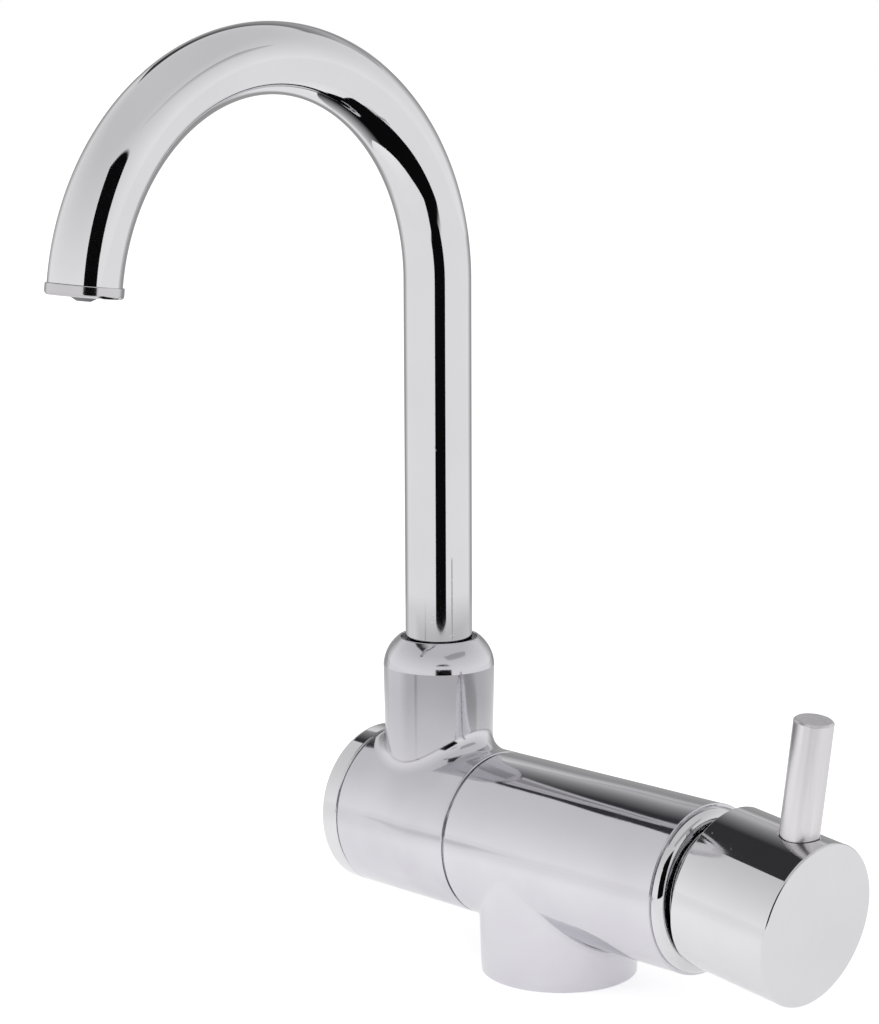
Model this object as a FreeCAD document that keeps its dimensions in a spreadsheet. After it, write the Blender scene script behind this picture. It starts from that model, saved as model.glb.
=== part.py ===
import FreeCAD, Part
import math
import os

import Sketcher

# Folding single-lever mixer tap: a T-shaped body casting with a short stem on the worktop,
# an elbow block that turns on a hollow spindle at the left end of the barrel, a swan-neck
# spout that swivels in the elbow's tower, and at the right end a ceramic cartridge under a
# knob with a round pin.
# Millimetres. The origin is the centre of the stem's foot on the worktop, +Z up, +X along the
# barrel towards the knob, and the spout reaches towards -Y, where the user stands.

doc = FreeCAD.newDocument("kitchen_mixer_tap")
sheet = doc.addObject("Spreadsheet::Sheet", "sizes")
sheet.Label = "sizes"

SIZES = [
    ("axis_height", 32.4, "worktop to the barrel's axis"),
    ("barrel_diameter", 44.0, "barrel, elbow block and end cap"),
    ("barrel_standard", 44.0, "barrel that the cross sizes inside it are given for"),
    ("barrel_left_step", 0.6, "barrel's left face inside its own radius from the stem's axis"),
    ("barrel_right", 49.8, "stem's axis to the barrel's right face"),
    ("barrel_edge_round", 0.9, "round on the barrel's end edges"),
    ("stem_step", 0.27, "stem inside the barrel's radius, at the barrel's axis"),
    ("stem_draft", 2.0, "degrees that the stem widens upwards"),
    ("stem_blend", 3.0, "fillet between stem and barrel"),
    ("stem_wall", 4.1, "stem's wall round the recess under it"),
    ("underside_depth", 9.0, "depth of that recess"),
    ("deck_seal_width", 1.8, "sealing ring under the stem"),
    ("deck_seal_height", 1.6, "its groove's depth"),
    ("hose_port_diameter", 10.0, "hot and cold hose ports"),
    ("hose_port_spacing", 17.0, "centre to centre of the two ports"),
    ("hose_port_offset", 3.0, "stem's axis to the line of ports, towards the knob"),
    ("hose_port_depth", 10.0, "threaded depth of a port"),
    ("stud_hole_diameter", 8.0, "hole for the fixing stud"),
    ("stud_hole_offset", 11.0, "stem's axis to the stud, away from the knob"),
    ("stud_hole_depth", 9.0, "threaded depth of the stud hole"),
    ("waterway_diameter", 6.0, "hot and cold channels in the casting"),
    ("inlet_drop", 4.0, "cartridge inlets below the barrel's axis"),
    ("mixed_diameter", 7.0, "mixed water channel"),
    ("mixed_rise", 6.0, "mixed channel above the barrel's axis"),
    ("mixing_chamber_diameter", 16.0, "chamber behind the spindle"),
    ("mixing_chamber_length", 5.0, "its length along the barrel"),
    ("seam_gap", 0.3, "open seam between barrel and elbow block"),
    ("running_clearance", 0.08, "radial play between pieces that turn in each other"),
    ("fit_clearance", 0.05, "radial play between pieces fixed together"),
    ("spindle_diameter", 24.0, "fold spindle's shaft"),
    ("spindle_bore", 11.0, "water bore of the spindle"),
    ("spindle_thread_diameter", 19.0, "spindle's screwed end in the body"),
    ("spindle_thread_length", 10.0, "length of that end"),
    ("spindle_port_diameter", 5.0, "cross holes that let water into the elbow"),
    ("spindle_port_groove", 9.0, "width of the ring groove round the cross holes"),
    ("spindle_port_groove_depth", 2.4, "depth of that groove"),
    ("spindle_end_set_in", 1.0, "spindle's end inside the seam of the cap"),
    ("spindle_nut_thread", 20.0, "screwed end that carries the nut"),
    ("spindle_nut_space", 4.0, "pocket's wall to the nut's flats"),
    ("spindle_nut_height", 4.6, "nut thickness"),
    ("spindle_ring_spread", 8.5, "cross holes to each sealing ring"),
    ("ring_section", 1.8, "sealing ring thickness"),
    ("ring_groove_width", 2.4, "groove of a sealing ring"),
    ("thrust_inner", 25.0, "thrust washer bore"),
    ("thrust_wall", 4.5, "barrel's wall round the thrust washer"),
    ("thrust_thickness", 1.0, "thrust and friction washers"),
    ("friction_washer_space", 2.0, "pocket's wall to the friction washer"),
    ("disc_spring_thickness", 0.8, "coned spring washer"),
    ("disc_spring_height", 1.3, "its height with the cone"),
    ("pocket_wall", 4.5, "elbow block's wall round the nut's pocket"),
    ("nut_pocket_depth", 8.5, "depth of that pocket"),
    ("spout_offset", 44.5, "stem's axis to the spout's axis"),
    ("cap_seam", 62.6, "stem's axis to the seam of the end cap"),
    ("cap_thickness", 6.1, "end cap outside the seam"),
    ("cap_edge_round", 1.6, "round on the cap's outer edge"),
    ("cap_inner_round", 0.6, "round on the cap's edge at the seam"),
    ("cap_spigot_length", 4.0, "spigot that presses into the pocket"),
    ("cap_spigot_wall", 1.2, "wall of that spigot"),
    ("tower_diameter", 30.0, "tower below its dome"),
    ("tower_foot_diameter", 28.4, "tower at the block"),
    ("tower_height", 50.6, "barrel's axis to the tower's mouth"),
    ("dome_height", 7.6, "domed shoulder of the tower"),
    ("dome_radius", 10.5, "curve of that shoulder"),
    ("mouth_lip", 0.6, "flat lip round the mouth"),
    ("tower_bore", 20.6, "bore of the tower and its mouth"),
    ("tower_bore_depth", 33.0, "depth of the bore from the mouth"),
    ("tower_waterway", 9.0, "hole from the spindle up to the bore"),
    ("tower_blend", 5.0, "fillet at the tower's foot"),
    ("tube_diameter", 18.0, "spout tube"),
    ("tube_wall", 1.0, "its wall"),
    ("arch_radius", 59.2, "bend of the tube's centre line"),
    ("arch_sweep", 172.8, "degrees of the bend"),
    ("arch_centre_height", 147.0, "barrel's axis to the centre of the bend"),
    ("ferrule_socket_depth", 5.0, "tube's seat in its ferrule"),
    ("ferrule_length", 24.0, "ferrule in the tower's bore"),
    ("ferrule_bore", 13.0, "water bore of the ferrule"),
    ("ferrule_foot_gap", 1.0, "ferrule's foot above the floor of the bore"),
    ("retaining_height", 17.4, "tower's mouth down to the retaining screw"),
    ("retaining_groove_width", 4.0, "groove that the screw rides in"),
    ("retaining_groove_depth", 1.7, "its depth"),
    ("retaining_screw_diameter", 5.0, "grub screw at the back of the tower"),
    ("retaining_tip_diameter", 3.2, "its plain tip"),
    ("retaining_tip_clearance", 0.4, "tip above the groove's floor"),
    ("retaining_thread_stop", 0.25, "end of the screw's thread outside the bore"),
    ("retaining_set_in", 0.9, "screw's head inside the tower's surface"),
    ("guide_height", 4.0, "plastic guide ring in the mouth"),
    ("guide_recess", 2.4, "mouth down to the guide ring"),
    ("aerator_diameter", 18.9, "visible band of the aerator"),
    ("aerator_band", 2.8, "height of that band"),
    ("aerator_band_round", 0.9, "round at its lower edge"),
    ("aerator_sleeve", 5.0, "sleeve screwed into the tube"),
    ("aerator_bore", 13.8, "bore of the aerator's housing"),
    ("aerator_washer_height", 1.5, "washer above the sleeve"),
    ("aerator_lip", 0.8, "lip that holds the insert"),
    ("aerator_nub_diameter", 7.0, "raised middle of the insert"),
    ("aerator_nub", 1.0, "how far the middle stands below the band"),
    ("aerator_hole_diameter", 1.6, "jets round the insert"),
    ("aerator_hole_circle", 9.6, "circle of those jets"),
    ("aerator_hole_count", 8.0, "number of jets"),
    ("aerator_screen_thickness", 0.5, "strainer disc"),
    ("aerator_screen_set_in", 1.0, "strainer below the sleeve's top"),
    ("bay_wall", 4.5, "barrel's wall round the cartridge"),
    ("cartridge_seat", 27.0, "stem's axis to the floor of the cartridge bay"),
    ("cartridge_base_thickness", 4.0, "base plate with the ports"),
    ("cartridge_port_seal", 1.4, "thickness of each port seal"),
    ("cartridge_shoulder", 16.0, "floor of the bay to the housing's shoulder"),
    ("cartridge_wall", 1.5, "housing wall"),
    ("neck_step", 4.5, "neck of the housing inside the cartridge's radius"),
    ("cartridge_neck_overhang", 3.2, "neck past the lever's pivot"),
    ("cartridge_lip", 1.0, "lip that keeps the rotor in"),
    ("cartridge_lip_width", 1.6, "how far that lip reaches inwards"),
    ("fixed_disc_step", 3.5, "fixed ceramic disc inside the cartridge's radius"),
    ("disc_thickness", 4.0, "each ceramic disc"),
    ("moving_disc_step", 2.5, "moving ceramic disc inside the fixed one's radius"),
    ("carrier_flange", 2.0, "flange of the disc carrier"),
    ("carrier_width", 12.0, "carrier block across the rotor's fork"),
    ("carrier_depth", 11.2, "carrier block along its slide"),
    ("carrier_height", 9.0, "carrier block above its flange"),
    ("bay_thread_wall", 3.0, "barrel's wall round the ring nut's thread"),
    ("lock_nut_nose_wall", 2.0, "nose of the ring nut outside the neck's radius"),
    ("lock_nut_length", 11.0, "its length"),
    ("lock_nut_slot", 4.0, "width of each spanner slot"),
    ("lock_nut_slot_depth", 2.0, "depth of each spanner slot"),
    ("lock_nut_play", 0.15, "radial play of the nut round the cartridge's neck"),
    ("lock_nut_set_in", 0.6, "nut's thread inside the barrel's face"),
    ("lock_nut_relief", 1.0, "bay's thread below the cartridge's shoulder"),
    ("bezel_step", 0.7, "bezel ring inside the barrel's radius"),
    ("bezel_shoulder", 4.4, "width of the bezel ring's domed shoulder"),
    ("bezel_length", 7.4, "its length"),
    ("bezel_dome", 3.0, "length of its domed part"),
    ("bezel_dome_radius", 3.4, "curve of that dome"),
    ("bezel_neck_taper", 0.4, "how much its neck narrows"),
    ("bezel_nose_gap", 0.4, "bezel ring over the nut's nose"),
    ("pivot_past_barrel", 22.2, "barrel's right face to the lever's pivot"),
    ("closed_tilt", 7.4, "degrees that the knob dips when closed"),
    ("rotor_clearance", 0.1, "play of the rotor in the neck"),
    ("rotor_gap", 2.1, "solid part of the rotor above the carrier"),
    ("rotor_fork", 6.5, "length of the fork below the rotor"),
    ("rotor_slot", 8.2, "slot for the lever"),
    ("rotor_slot_length", 15.0, "that slot across"),
    ("pivot_pin_diameter", 3.0, "pin that the lever tilts on"),
    ("pivot_pin_set_in", 0.6, "pin's ends inside the rotor's side"),
    ("lever_square", 8.0, "square end of the lever"),
    ("lever_square_foot", 4.6, "pivot to the foot of the square"),
    ("lever_arm_diameter", 5.6, "lower arm of the lever"),
    ("lever_ball_diameter", 7.4, "ball at its lower end"),
    ("ball_depth", 3.0, "ball's centre below the carrier's top"),
    ("lever_socket_depth", 6.0, "square end of the lever inside the knob"),
    ("ball_play", 0.3, "play of the ball in the carrier"),
    ("knob_step", 0.9, "knob inside the barrel's radius"),
    ("knob_length", 29.0, "handle knob, rim to face"),
    ("knob_rim_past_barrel", 6.2, "barrel's right face to the knob's rim"),
    ("knob_wall", 1.4, "wall at the rim"),
    ("knob_skirt_depth", 11.0, "depth of the wide bore"),
    ("knob_cavity_play", 2.0, "knob's narrower bore outside the neck's radius"),
    ("knob_cavity_depth", 21.5, "rim to the end of that bore"),
    ("knob_edge_round", 0.8, "round on the edge of the knob's face"),
    ("handle_pin_diameter", 10.0, "round lever pin"),
    ("handle_pin_height", 29.6, "pin above the knob's surface"),
    ("handle_pin_station", 20.2, "rim to the pin's axis"),
    ("handle_pin_chamfer", 0.5, "edge of the pin's top"),
    ("pin_recess_depth", 1.2, "spot face under the pin"),
    ("pin_recess_play", 0.35, "ring gap round the pin's foot"),
    ("pin_stud_diameter", 5.0, "stud that joins pin and knob"),
    ("pin_stud_depth", 4.0, "stud in the knob"),
    ("pin_stud_height", 8.0, "stud in the pin"),
    ("pin_stud_end_play", 0.3, "stud short of each hole's end"),
    ("knob_screw_diameter", 5.0, "grub screw on the underside of the knob"),
    ("knob_screw_length", 8.0, "its length"),
    ("knob_screw_station", 24.8, "rim to the grub screw"),
    ("key_flats", 2.5, "hexagon sockets of the grub screws"),
    ("key_depth", 2.0, "depth of those sockets"),
]


class Size:
    """A number that keeps the sheet formula it comes from."""

    def __init__(self, number, formula):
        self.number = float(number)
        self.formula = formula

    def __add__(self, other):
        other = as_size(other)
        return Size(self.number + other.number, "(%s + %s)" % (self.formula, other.formula))

    def __sub__(self, other):
        other = as_size(other)
        return Size(self.number - other.number, "(%s - %s)" % (self.formula, other.formula))

    def __mul__(self, other):
        other = as_size(other)
        return Size(self.number * other.number, "(%s * %s)" % (self.formula, other.formula))

    def __truediv__(self, other):
        other = as_size(other)
        return Size(self.number / other.number, "(%s / %s)" % (self.formula, other.formula))

    def __neg__(self):
        return Size(-self.number, "(0 - %s)" % self.formula)


def as_size(value):
    if isinstance(value, Size):
        return value
    return Size(value, "%.10g" % value)


def sine(angle):
    return Size(math.sin(math.radians(angle.number)), "sin(%s * 1deg)" % angle.formula)


def cosine(angle):
    return Size(math.cos(math.radians(angle.number)), "cos(%s * 1deg)" % angle.formula)


def tangent(angle):
    return Size(math.tan(math.radians(angle.number)), "tan(%s * 1deg)" % angle.formula)


size = {}
for row, (alias, value, meaning) in enumerate(SIZES, start=1):
    sheet.set("A%d" % row, meaning)
    sheet.set("B%d" % row, "%.10g" % value)
    sheet.setAlias("B%d" % row, alias)
    size[alias] = Size(value, "sizes.%s" % alias)
doc.recompute()

# Cross sizes that grow and shrink with the barrel.
for alias in (
    "barrel_left_step", "stem_step", "stem_blend", "stem_wall", "bay_wall", "bay_thread_wall",
    "pocket_wall", "thrust_wall", "thrust_inner", "mixing_chamber_diameter",
    "spindle_diameter", "spindle_bore", "spindle_thread_diameter", "spindle_port_diameter",
    "spindle_port_groove_depth", "spindle_nut_thread", "spindle_nut_space", "friction_washer_space",
    "hose_port_spacing", "waterway_diameter", "inlet_drop", "mixed_diameter", "mixed_rise",
    "cartridge_wall", "cartridge_lip_width", "fixed_disc_step", "moving_disc_step", "neck_step",
    "carrier_width", "carrier_depth", "rotor_slot", "rotor_slot_length", "pivot_pin_diameter",
    "lever_square", "lever_arm_diameter", "lever_ball_diameter",
    "bezel_step", "bezel_shoulder", "knob_step",
):
    size[alias] = size[alias] * size["barrel_diameter"] / size["barrel_standard"]

stem_rise = size["axis_height"] * tangent(size["stem_draft"])
size["stem_diameter"] = size["barrel_diameter"] - (size["stem_step"] + stem_rise) * 2

# Diameters that step in or out from another one by a wall on each side.
for alias, outer, wall in (
    ("cartridge_diameter", "barrel_diameter", "bay_wall"),
    ("lock_nut_thread", "barrel_diameter", "bay_thread_wall"),
    ("nut_pocket_diameter", "barrel_diameter", "pocket_wall"),
    ("thrust_outer", "barrel_diameter", "thrust_wall"),
    ("underside_diameter", "stem_diameter", "stem_wall"),
    ("bezel_diameter", "barrel_diameter", "bezel_step"),
    ("bezel_neck_diameter", "bezel_diameter", "bezel_shoulder"),
    ("knob_diameter", "barrel_diameter", "knob_step"),
    ("fixed_disc_diameter", "cartridge_diameter", "fixed_disc_step"),
    ("moving_disc_diameter", "fixed_disc_diameter", "moving_disc_step"),
    ("cartridge_neck_diameter", "cartridge_diameter", "neck_step"),
    ("spindle_nut_flats", "nut_pocket_diameter", "spindle_nut_space"),
    ("friction_outer", "nut_pocket_diameter", "friction_washer_space"),
):
    size[alias] = size[outer] - size[wall] * 2
for alias, wall in (
    ("lock_nut_nose", "lock_nut_nose_wall"),
    ("knob_cavity_diameter", "knob_cavity_play"),
):
    size[alias] = size["cartridge_neck_diameter"] + size[wall] * 2

# Lengths that follow from the barrel's faces.
size["barrel_left"] = size["barrel_diameter"] / 2 - size["barrel_left_step"]
size["pivot_reach"] = size["barrel_right"] + size["pivot_past_barrel"]
size["knob_rim_reach"] = size["pivot_past_barrel"] - size["knob_rim_past_barrel"]
cavity_reach = size["knob_cavity_depth"] - size["knob_rim_reach"]
size["lever_square_length"] = cavity_reach + size["lever_socket_depth"]

# Derived sizes that several pieces share.
barrel_radius = size["barrel_diameter"] / 2
running = size["running_clearance"]
fit = size["fit_clearance"]
axis_height = size["axis_height"]
spindle_radius = size["spindle_diameter"] / 2
nut_thread_radius = size["spindle_nut_thread"] / 2
block_right = size["spout_offset"] - size["barrel_left"] - size["seam_gap"]
block_left = size["cap_seam"] - size["spout_offset"]
pocket_floor = size["cap_seam"] - size["nut_pocket_depth"]
tower_radius = size["tower_diameter"] / 2
tower_bore_radius = size["tower_bore"] / 2
tower_floor = size["tower_height"] - size["tower_bore_depth"]
ferrule_foot = tower_floor + size["ferrule_foot_gap"]
ferrule_top = ferrule_foot + size["ferrule_length"]
tube_foot = ferrule_top - size["ferrule_socket_depth"]
retaining_level = size["tower_height"] - size["retaining_height"]
tube_radius = size["tube_diameter"] / 2
tube_inner = tube_radius - size["tube_wall"]
cartridge_radius = size["cartridge_diameter"] / 2
bay_floor = size["cartridge_seat"]
fixed_disc_foot = bay_floor + size["cartridge_base_thickness"]
moving_disc_foot = fixed_disc_foot + size["disc_thickness"]
carrier_foot = moving_disc_foot + size["disc_thickness"]
carrier_top = carrier_foot + size["carrier_flange"] + size["carrier_height"]
shoulder = bay_floor + size["cartridge_shoulder"]
neck_radius = size["cartridge_neck_diameter"] / 2
neck_inner = neck_radius - size["cartridge_wall"]
neck_top = size["pivot_reach"] + size["cartridge_neck_overhang"]
rotor_radius = neck_inner - size["rotor_clearance"]
rotor_top = neck_top - size["cartridge_lip"] - size["rotor_clearance"]
rotor_foot = carrier_top + size["rotor_gap"]
knob_radius = size["knob_diameter"] / 2
knob_face = size["knob_length"] - size["knob_rim_reach"]
pin_axis = size["handle_pin_station"] - size["knob_rim_reach"]
lever_reach = size["pivot_reach"] - carrier_top + size["ball_depth"]
ball_rise = lever_reach * sine(size["closed_tilt"])
port_across = size["hose_port_spacing"] / 2

# Cuts run this far past the metal.
beyond = as_size(1)

half_turn = as_size(180)

# A frame is a place (x, y, z), an axis that it is turned about, and the angle.
BARREL = ((0, 0, axis_height), None, 0)
TOWER = ((-size["spout_offset"], 0, axis_height), None, 0)
STEM = ((0, 0, 0), None, 0)
KNOB = ((size["pivot_reach"], 0, axis_height), (0, 1, 0), size["closed_tilt"])
DISC = ((0, 0, axis_height + ball_rise), None, 0)
OUTLET = (
    (
        -size["spout_offset"],
        -size["arch_radius"] * (as_size(1) - cosine(size["arch_sweep"])),
        axis_height + size["arch_centre_height"] + size["arch_radius"] * sine(size["arch_sweep"]),
    ),
    (1, 0, 0),
    size["arch_sweep"] - half_turn,
)

parts = []


def bind(target, path, value):
    target.setExpression(path, as_size(value).formula)


def place(target, frame):
    """Puts a piece into its frame, bound to the sheet."""
    where, axis, angle = frame
    turn = FreeCAD.Rotation()
    if axis is not None:
        turn = FreeCAD.Rotation(FreeCAD.Vector(*axis), as_size(angle).number)
    base = FreeCAD.Vector(*[as_size(value).number for value in where])
    target.Placement = FreeCAD.Placement(base, turn)
    for name, value in zip("xyz", where):
        if isinstance(value, Size):
            bind(target, "Placement.Base." + name, value)
    if axis is not None:
        bind(target, "Placement.Rotation.Angle", angle)


def new_body(label, frame):
    body = doc.addObject("PartDesign::Body", label)
    body.Label = label
    place(body, frame)
    parts.append(body)
    return body


def new_sketch(body, name, plane, offset=0):
    """A sketch on one of the body's own planes, moved along the plane's normal."""
    sketch = body.newObject("Sketcher::SketchObject", name)
    for feature in body.Origin.OriginFeatures:
        if feature.Role == plane:
            sketch.AttachmentSupport = [(feature, "")]
    sketch.MapMode = "FlatFace"
    offset = as_size(offset)
    sketch.AttachmentOffset = FreeCAD.Placement(FreeCAD.Vector(0, 0, offset.number), FreeCAD.Rotation())
    bind(sketch, "AttachmentOffset.Base.z", offset)
    return sketch


def pin_point(sketch, geometry, position, x, y):
    """Binds one point of the sketch to two formulas."""
    for kind, value in (("DistanceX", as_size(x)), ("DistanceY", as_size(y))):
        index = sketch.addConstraint(Sketcher.Constraint(kind, -1, 1, geometry, position, value.number))
        bind(sketch, "Constraints[%d]" % index, value)


def draw_outline(sketch, points):
    """A closed outline. A point may name the radius of the arc that leaves it, and its side."""
    first = sketch.GeometryCount
    corners = [FreeCAD.Vector(as_size(point[0]).number, as_size(point[1]).number, 0) for point in points]
    ends = []
    for index, point in enumerate(points):
        start = corners[index]
        end = corners[(index + 1) % len(points)]
        if len(point) == 2:
            sketch.addGeometry(Part.LineSegment(start, end), False)
            ends.append((1, 2))
            continue
        radius, side = point[2]
        chord = end - start
        reach = math.sqrt(max(radius.number ** 2 - (chord.Length / 2) ** 2, 0))
        left = FreeCAD.Vector(-chord.y, chord.x, 0).normalize()
        sign = 1 if side == "left" else -1
        centre = (start + end) * 0.5 + left * (reach * sign)
        from_angle = math.atan2(start.y - centre.y, start.x - centre.x)
        to_angle = math.atan2(end.y - centre.y, end.x - centre.x)
        circle = Part.Circle(centre, FreeCAD.Vector(0, 0, 1), radius.number)
        if side == "left":
            sketch.addGeometry(Part.ArcOfCircle(circle, from_angle, to_angle), False)
            ends.append((1, 2))
        else:
            sketch.addGeometry(Part.ArcOfCircle(circle, to_angle, from_angle), False)
            ends.append((2, 1))
    for index, point in enumerate(points):
        following = (index + 1) % len(points)
        join = Sketcher.Constraint(
            "Coincident", first + index, ends[index][1], first + following, ends[following][0]
        )
        sketch.addConstraint(join)
    for index, point in enumerate(points):
        pin_point(sketch, first + index, ends[index][0], point[0], point[1])
        if len(point) == 3:
            radius = point[2][0]
            bend = sketch.addConstraint(Sketcher.Constraint("Radius", first + index, radius.number))
            bind(sketch, "Constraints[%d]" % bend, radius)


def draw_circle(sketch, x, y, diameter):
    diameter = as_size(diameter)
    centre = FreeCAD.Vector(as_size(x).number, as_size(y).number, 0)
    circle = Part.Circle(centre, FreeCAD.Vector(0, 0, 1), diameter.number / 2)
    index = sketch.addGeometry(circle, False)
    pin_point(sketch, index, 3, x, y)
    across = sketch.addConstraint(Sketcher.Constraint("Diameter", index, diameter.number))
    bind(sketch, "Constraints[%d]" % across, diameter)


def draw_box(sketch, width, height, x=0, y=0):
    left = as_size(x) - as_size(width) / 2
    low = as_size(y) - as_size(height) / 2
    right = left + width
    high = low + height
    draw_outline(sketch, [(left, low), (right, low), (right, high), (left, high)])


def draw_hexagon(sketch, flats, x=0, y=0):
    radius = as_size(flats) / 2 / math.cos(math.radians(30))
    corners = []
    for corner in range(6):
        angle = math.radians(60 * corner)
        corners.append((as_size(x) + radius * math.cos(angle), as_size(y) + radius * math.sin(angle)))
    draw_outline(sketch, corners)


def check_cut(body, feature, before):
    """A cut that meets nothing shows no error, so the volumes are compared."""
    doc.recompute()
    if feature.Shape.Volume > before - 1e-3:
        raise RuntimeError("%s: %s removes nothing" % (body.Label, feature.Name))


def revolve(body, name, axis, points, cut=False):
    """Turns an outline drawn on the XZ plane about the frame's X axis or Z axis."""
    sketch = new_sketch(body, name + "_profile", "XZ_Plane")
    draw_outline(sketch, points)
    before = body.Shape.Volume if cut else 0
    kind = "PartDesign::Groove" if cut else "PartDesign::Revolution"
    feature = body.newObject(kind, name)
    feature.Profile = sketch
    feature.ReferenceAxis = (sketch, ["H_Axis" if axis == "X" else "V_Axis"])
    feature.Angle = 360
    doc.recompute()
    if cut:
        check_cut(body, feature, before)
    return feature


def pad(body, name, plane, draw, length, offset=0, reverse=False):
    sketch = new_sketch(body, name + "_profile", plane, offset)
    draw(sketch)
    feature = body.newObject("PartDesign::Pad", name)
    feature.Profile = sketch
    bind(feature, "Length", length)
    feature.Reversed = reverse
    doc.recompute()
    return feature


def pocket(body, name, plane, draw, length, offset=0, reverse=False, both=False):
    """Cuts against the plane's normal, along it when reversed, or both ways from the plane."""
    sketch = new_sketch(body, name + "_profile", plane, offset)
    draw(sketch)
    before = body.Shape.Volume
    feature = body.newObject("PartDesign::Pocket", name)
    feature.Profile = sketch
    feature.Type = "Length"
    bind(feature, "Length", length)
    feature.Reversed = reverse
    feature.Midplane = both
    check_cut(body, feature, before)
    return feature


def polar(body, name, feature, axis, count):
    """Repeats a feature about the frame's X or Z axis."""
    pattern = body.newObject("PartDesign::PolarPattern", name)
    pattern.Originals = [feature]
    for origin in body.Origin.OriginFeatures:
        if origin.Role == axis + "_Axis":
            pattern.Axis = (origin, [""])
    pattern.Angle = 360
    bind(pattern, "Occurrences", count)
    body.Tip = pattern
    doc.recompute()
    return pattern


def circle_edges(body, along, where, radius):
    """Names of the full circles of one radius at one place along X (0), Y (1) or Z (2)."""
    names = []
    for number, edge in enumerate(body.Tip.Shape.Edges, start=1):
        curve = edge.Curve
        if not isinstance(curve, Part.Circle):
            continue
        if abs(curve.Radius - radius.number) > 0.01:
            continue
        if abs(curve.Center[along] - as_size(where).number) < 0.01:
            names.append("Edge%d" % number)
    if not names:
        raise RuntimeError("%s has no circle there" % body.Label)
    return names


def edge_round(body, name, edges, radius, kind="PartDesign::Fillet"):
    solid = body.Tip
    feature = body.newObject(kind, name)
    feature.Base = (solid, edges)
    bind(feature, "Radius" if kind.endswith("Fillet") else "Size", radius)
    doc.recompute()
    return feature


def turned_round(body, name, face, inward, radius):
    """Rounds the rim of an end face of the barrel's diameter; inward is +1 or -1 along X."""
    low = barrel_radius - radius
    start = face + radius * inward
    outside = face - inward
    side = "right" if inward > 0 else "left"
    outline = [
        (face, low, (radius, side)), (start, barrel_radius), (start, barrel_radius + beyond),
        (outside, barrel_radius + beyond), (outside, low),
    ]
    revolve(body, name, "X", outline, cut=True)


def ring(label, frame, axis, inner, outer, low, high):
    """A plain turned ring: washer, bush or sealing ring with a flat section."""
    body = new_body(label, frame)
    if axis == "X":
        points = [(low, inner), (high, inner), (high, outer), (low, outer)]
    else:
        points = [(inner, low), (outer, low), (outer, high), (inner, high)]
    revolve(body, label + "_turned", axis, points)
    return body


def torus(label, frame, axis, station, outside, section):
    """One round sealing ring whose outside has the given radius, on the frame's X or Z axis."""
    shape = doc.addObject("Part::Torus", label)
    where, turned, angle = frame
    x, y, z = where
    if axis == "X":
        shape.Placement.Rotation = FreeCAD.Rotation(FreeCAD.Vector(0, 1, 0), 90)
        x = as_size(x) + station
    else:
        z = as_size(z) + station
    for name, value in zip("xyz", (x, y, z)):
        bind(shape, "Placement.Base." + name, value)
    bind(shape, "Radius1", outside - as_size(section) / 2)
    bind(shape, "Radius2", as_size(section) / 2)
    return shape


def group(label, shapes):
    """Several separate solids kept as one named piece."""
    compound = doc.addObject("Part::Compound", label)
    compound.Label = label
    compound.Links = shapes
    parts.append(compound)
    return compound


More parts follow.
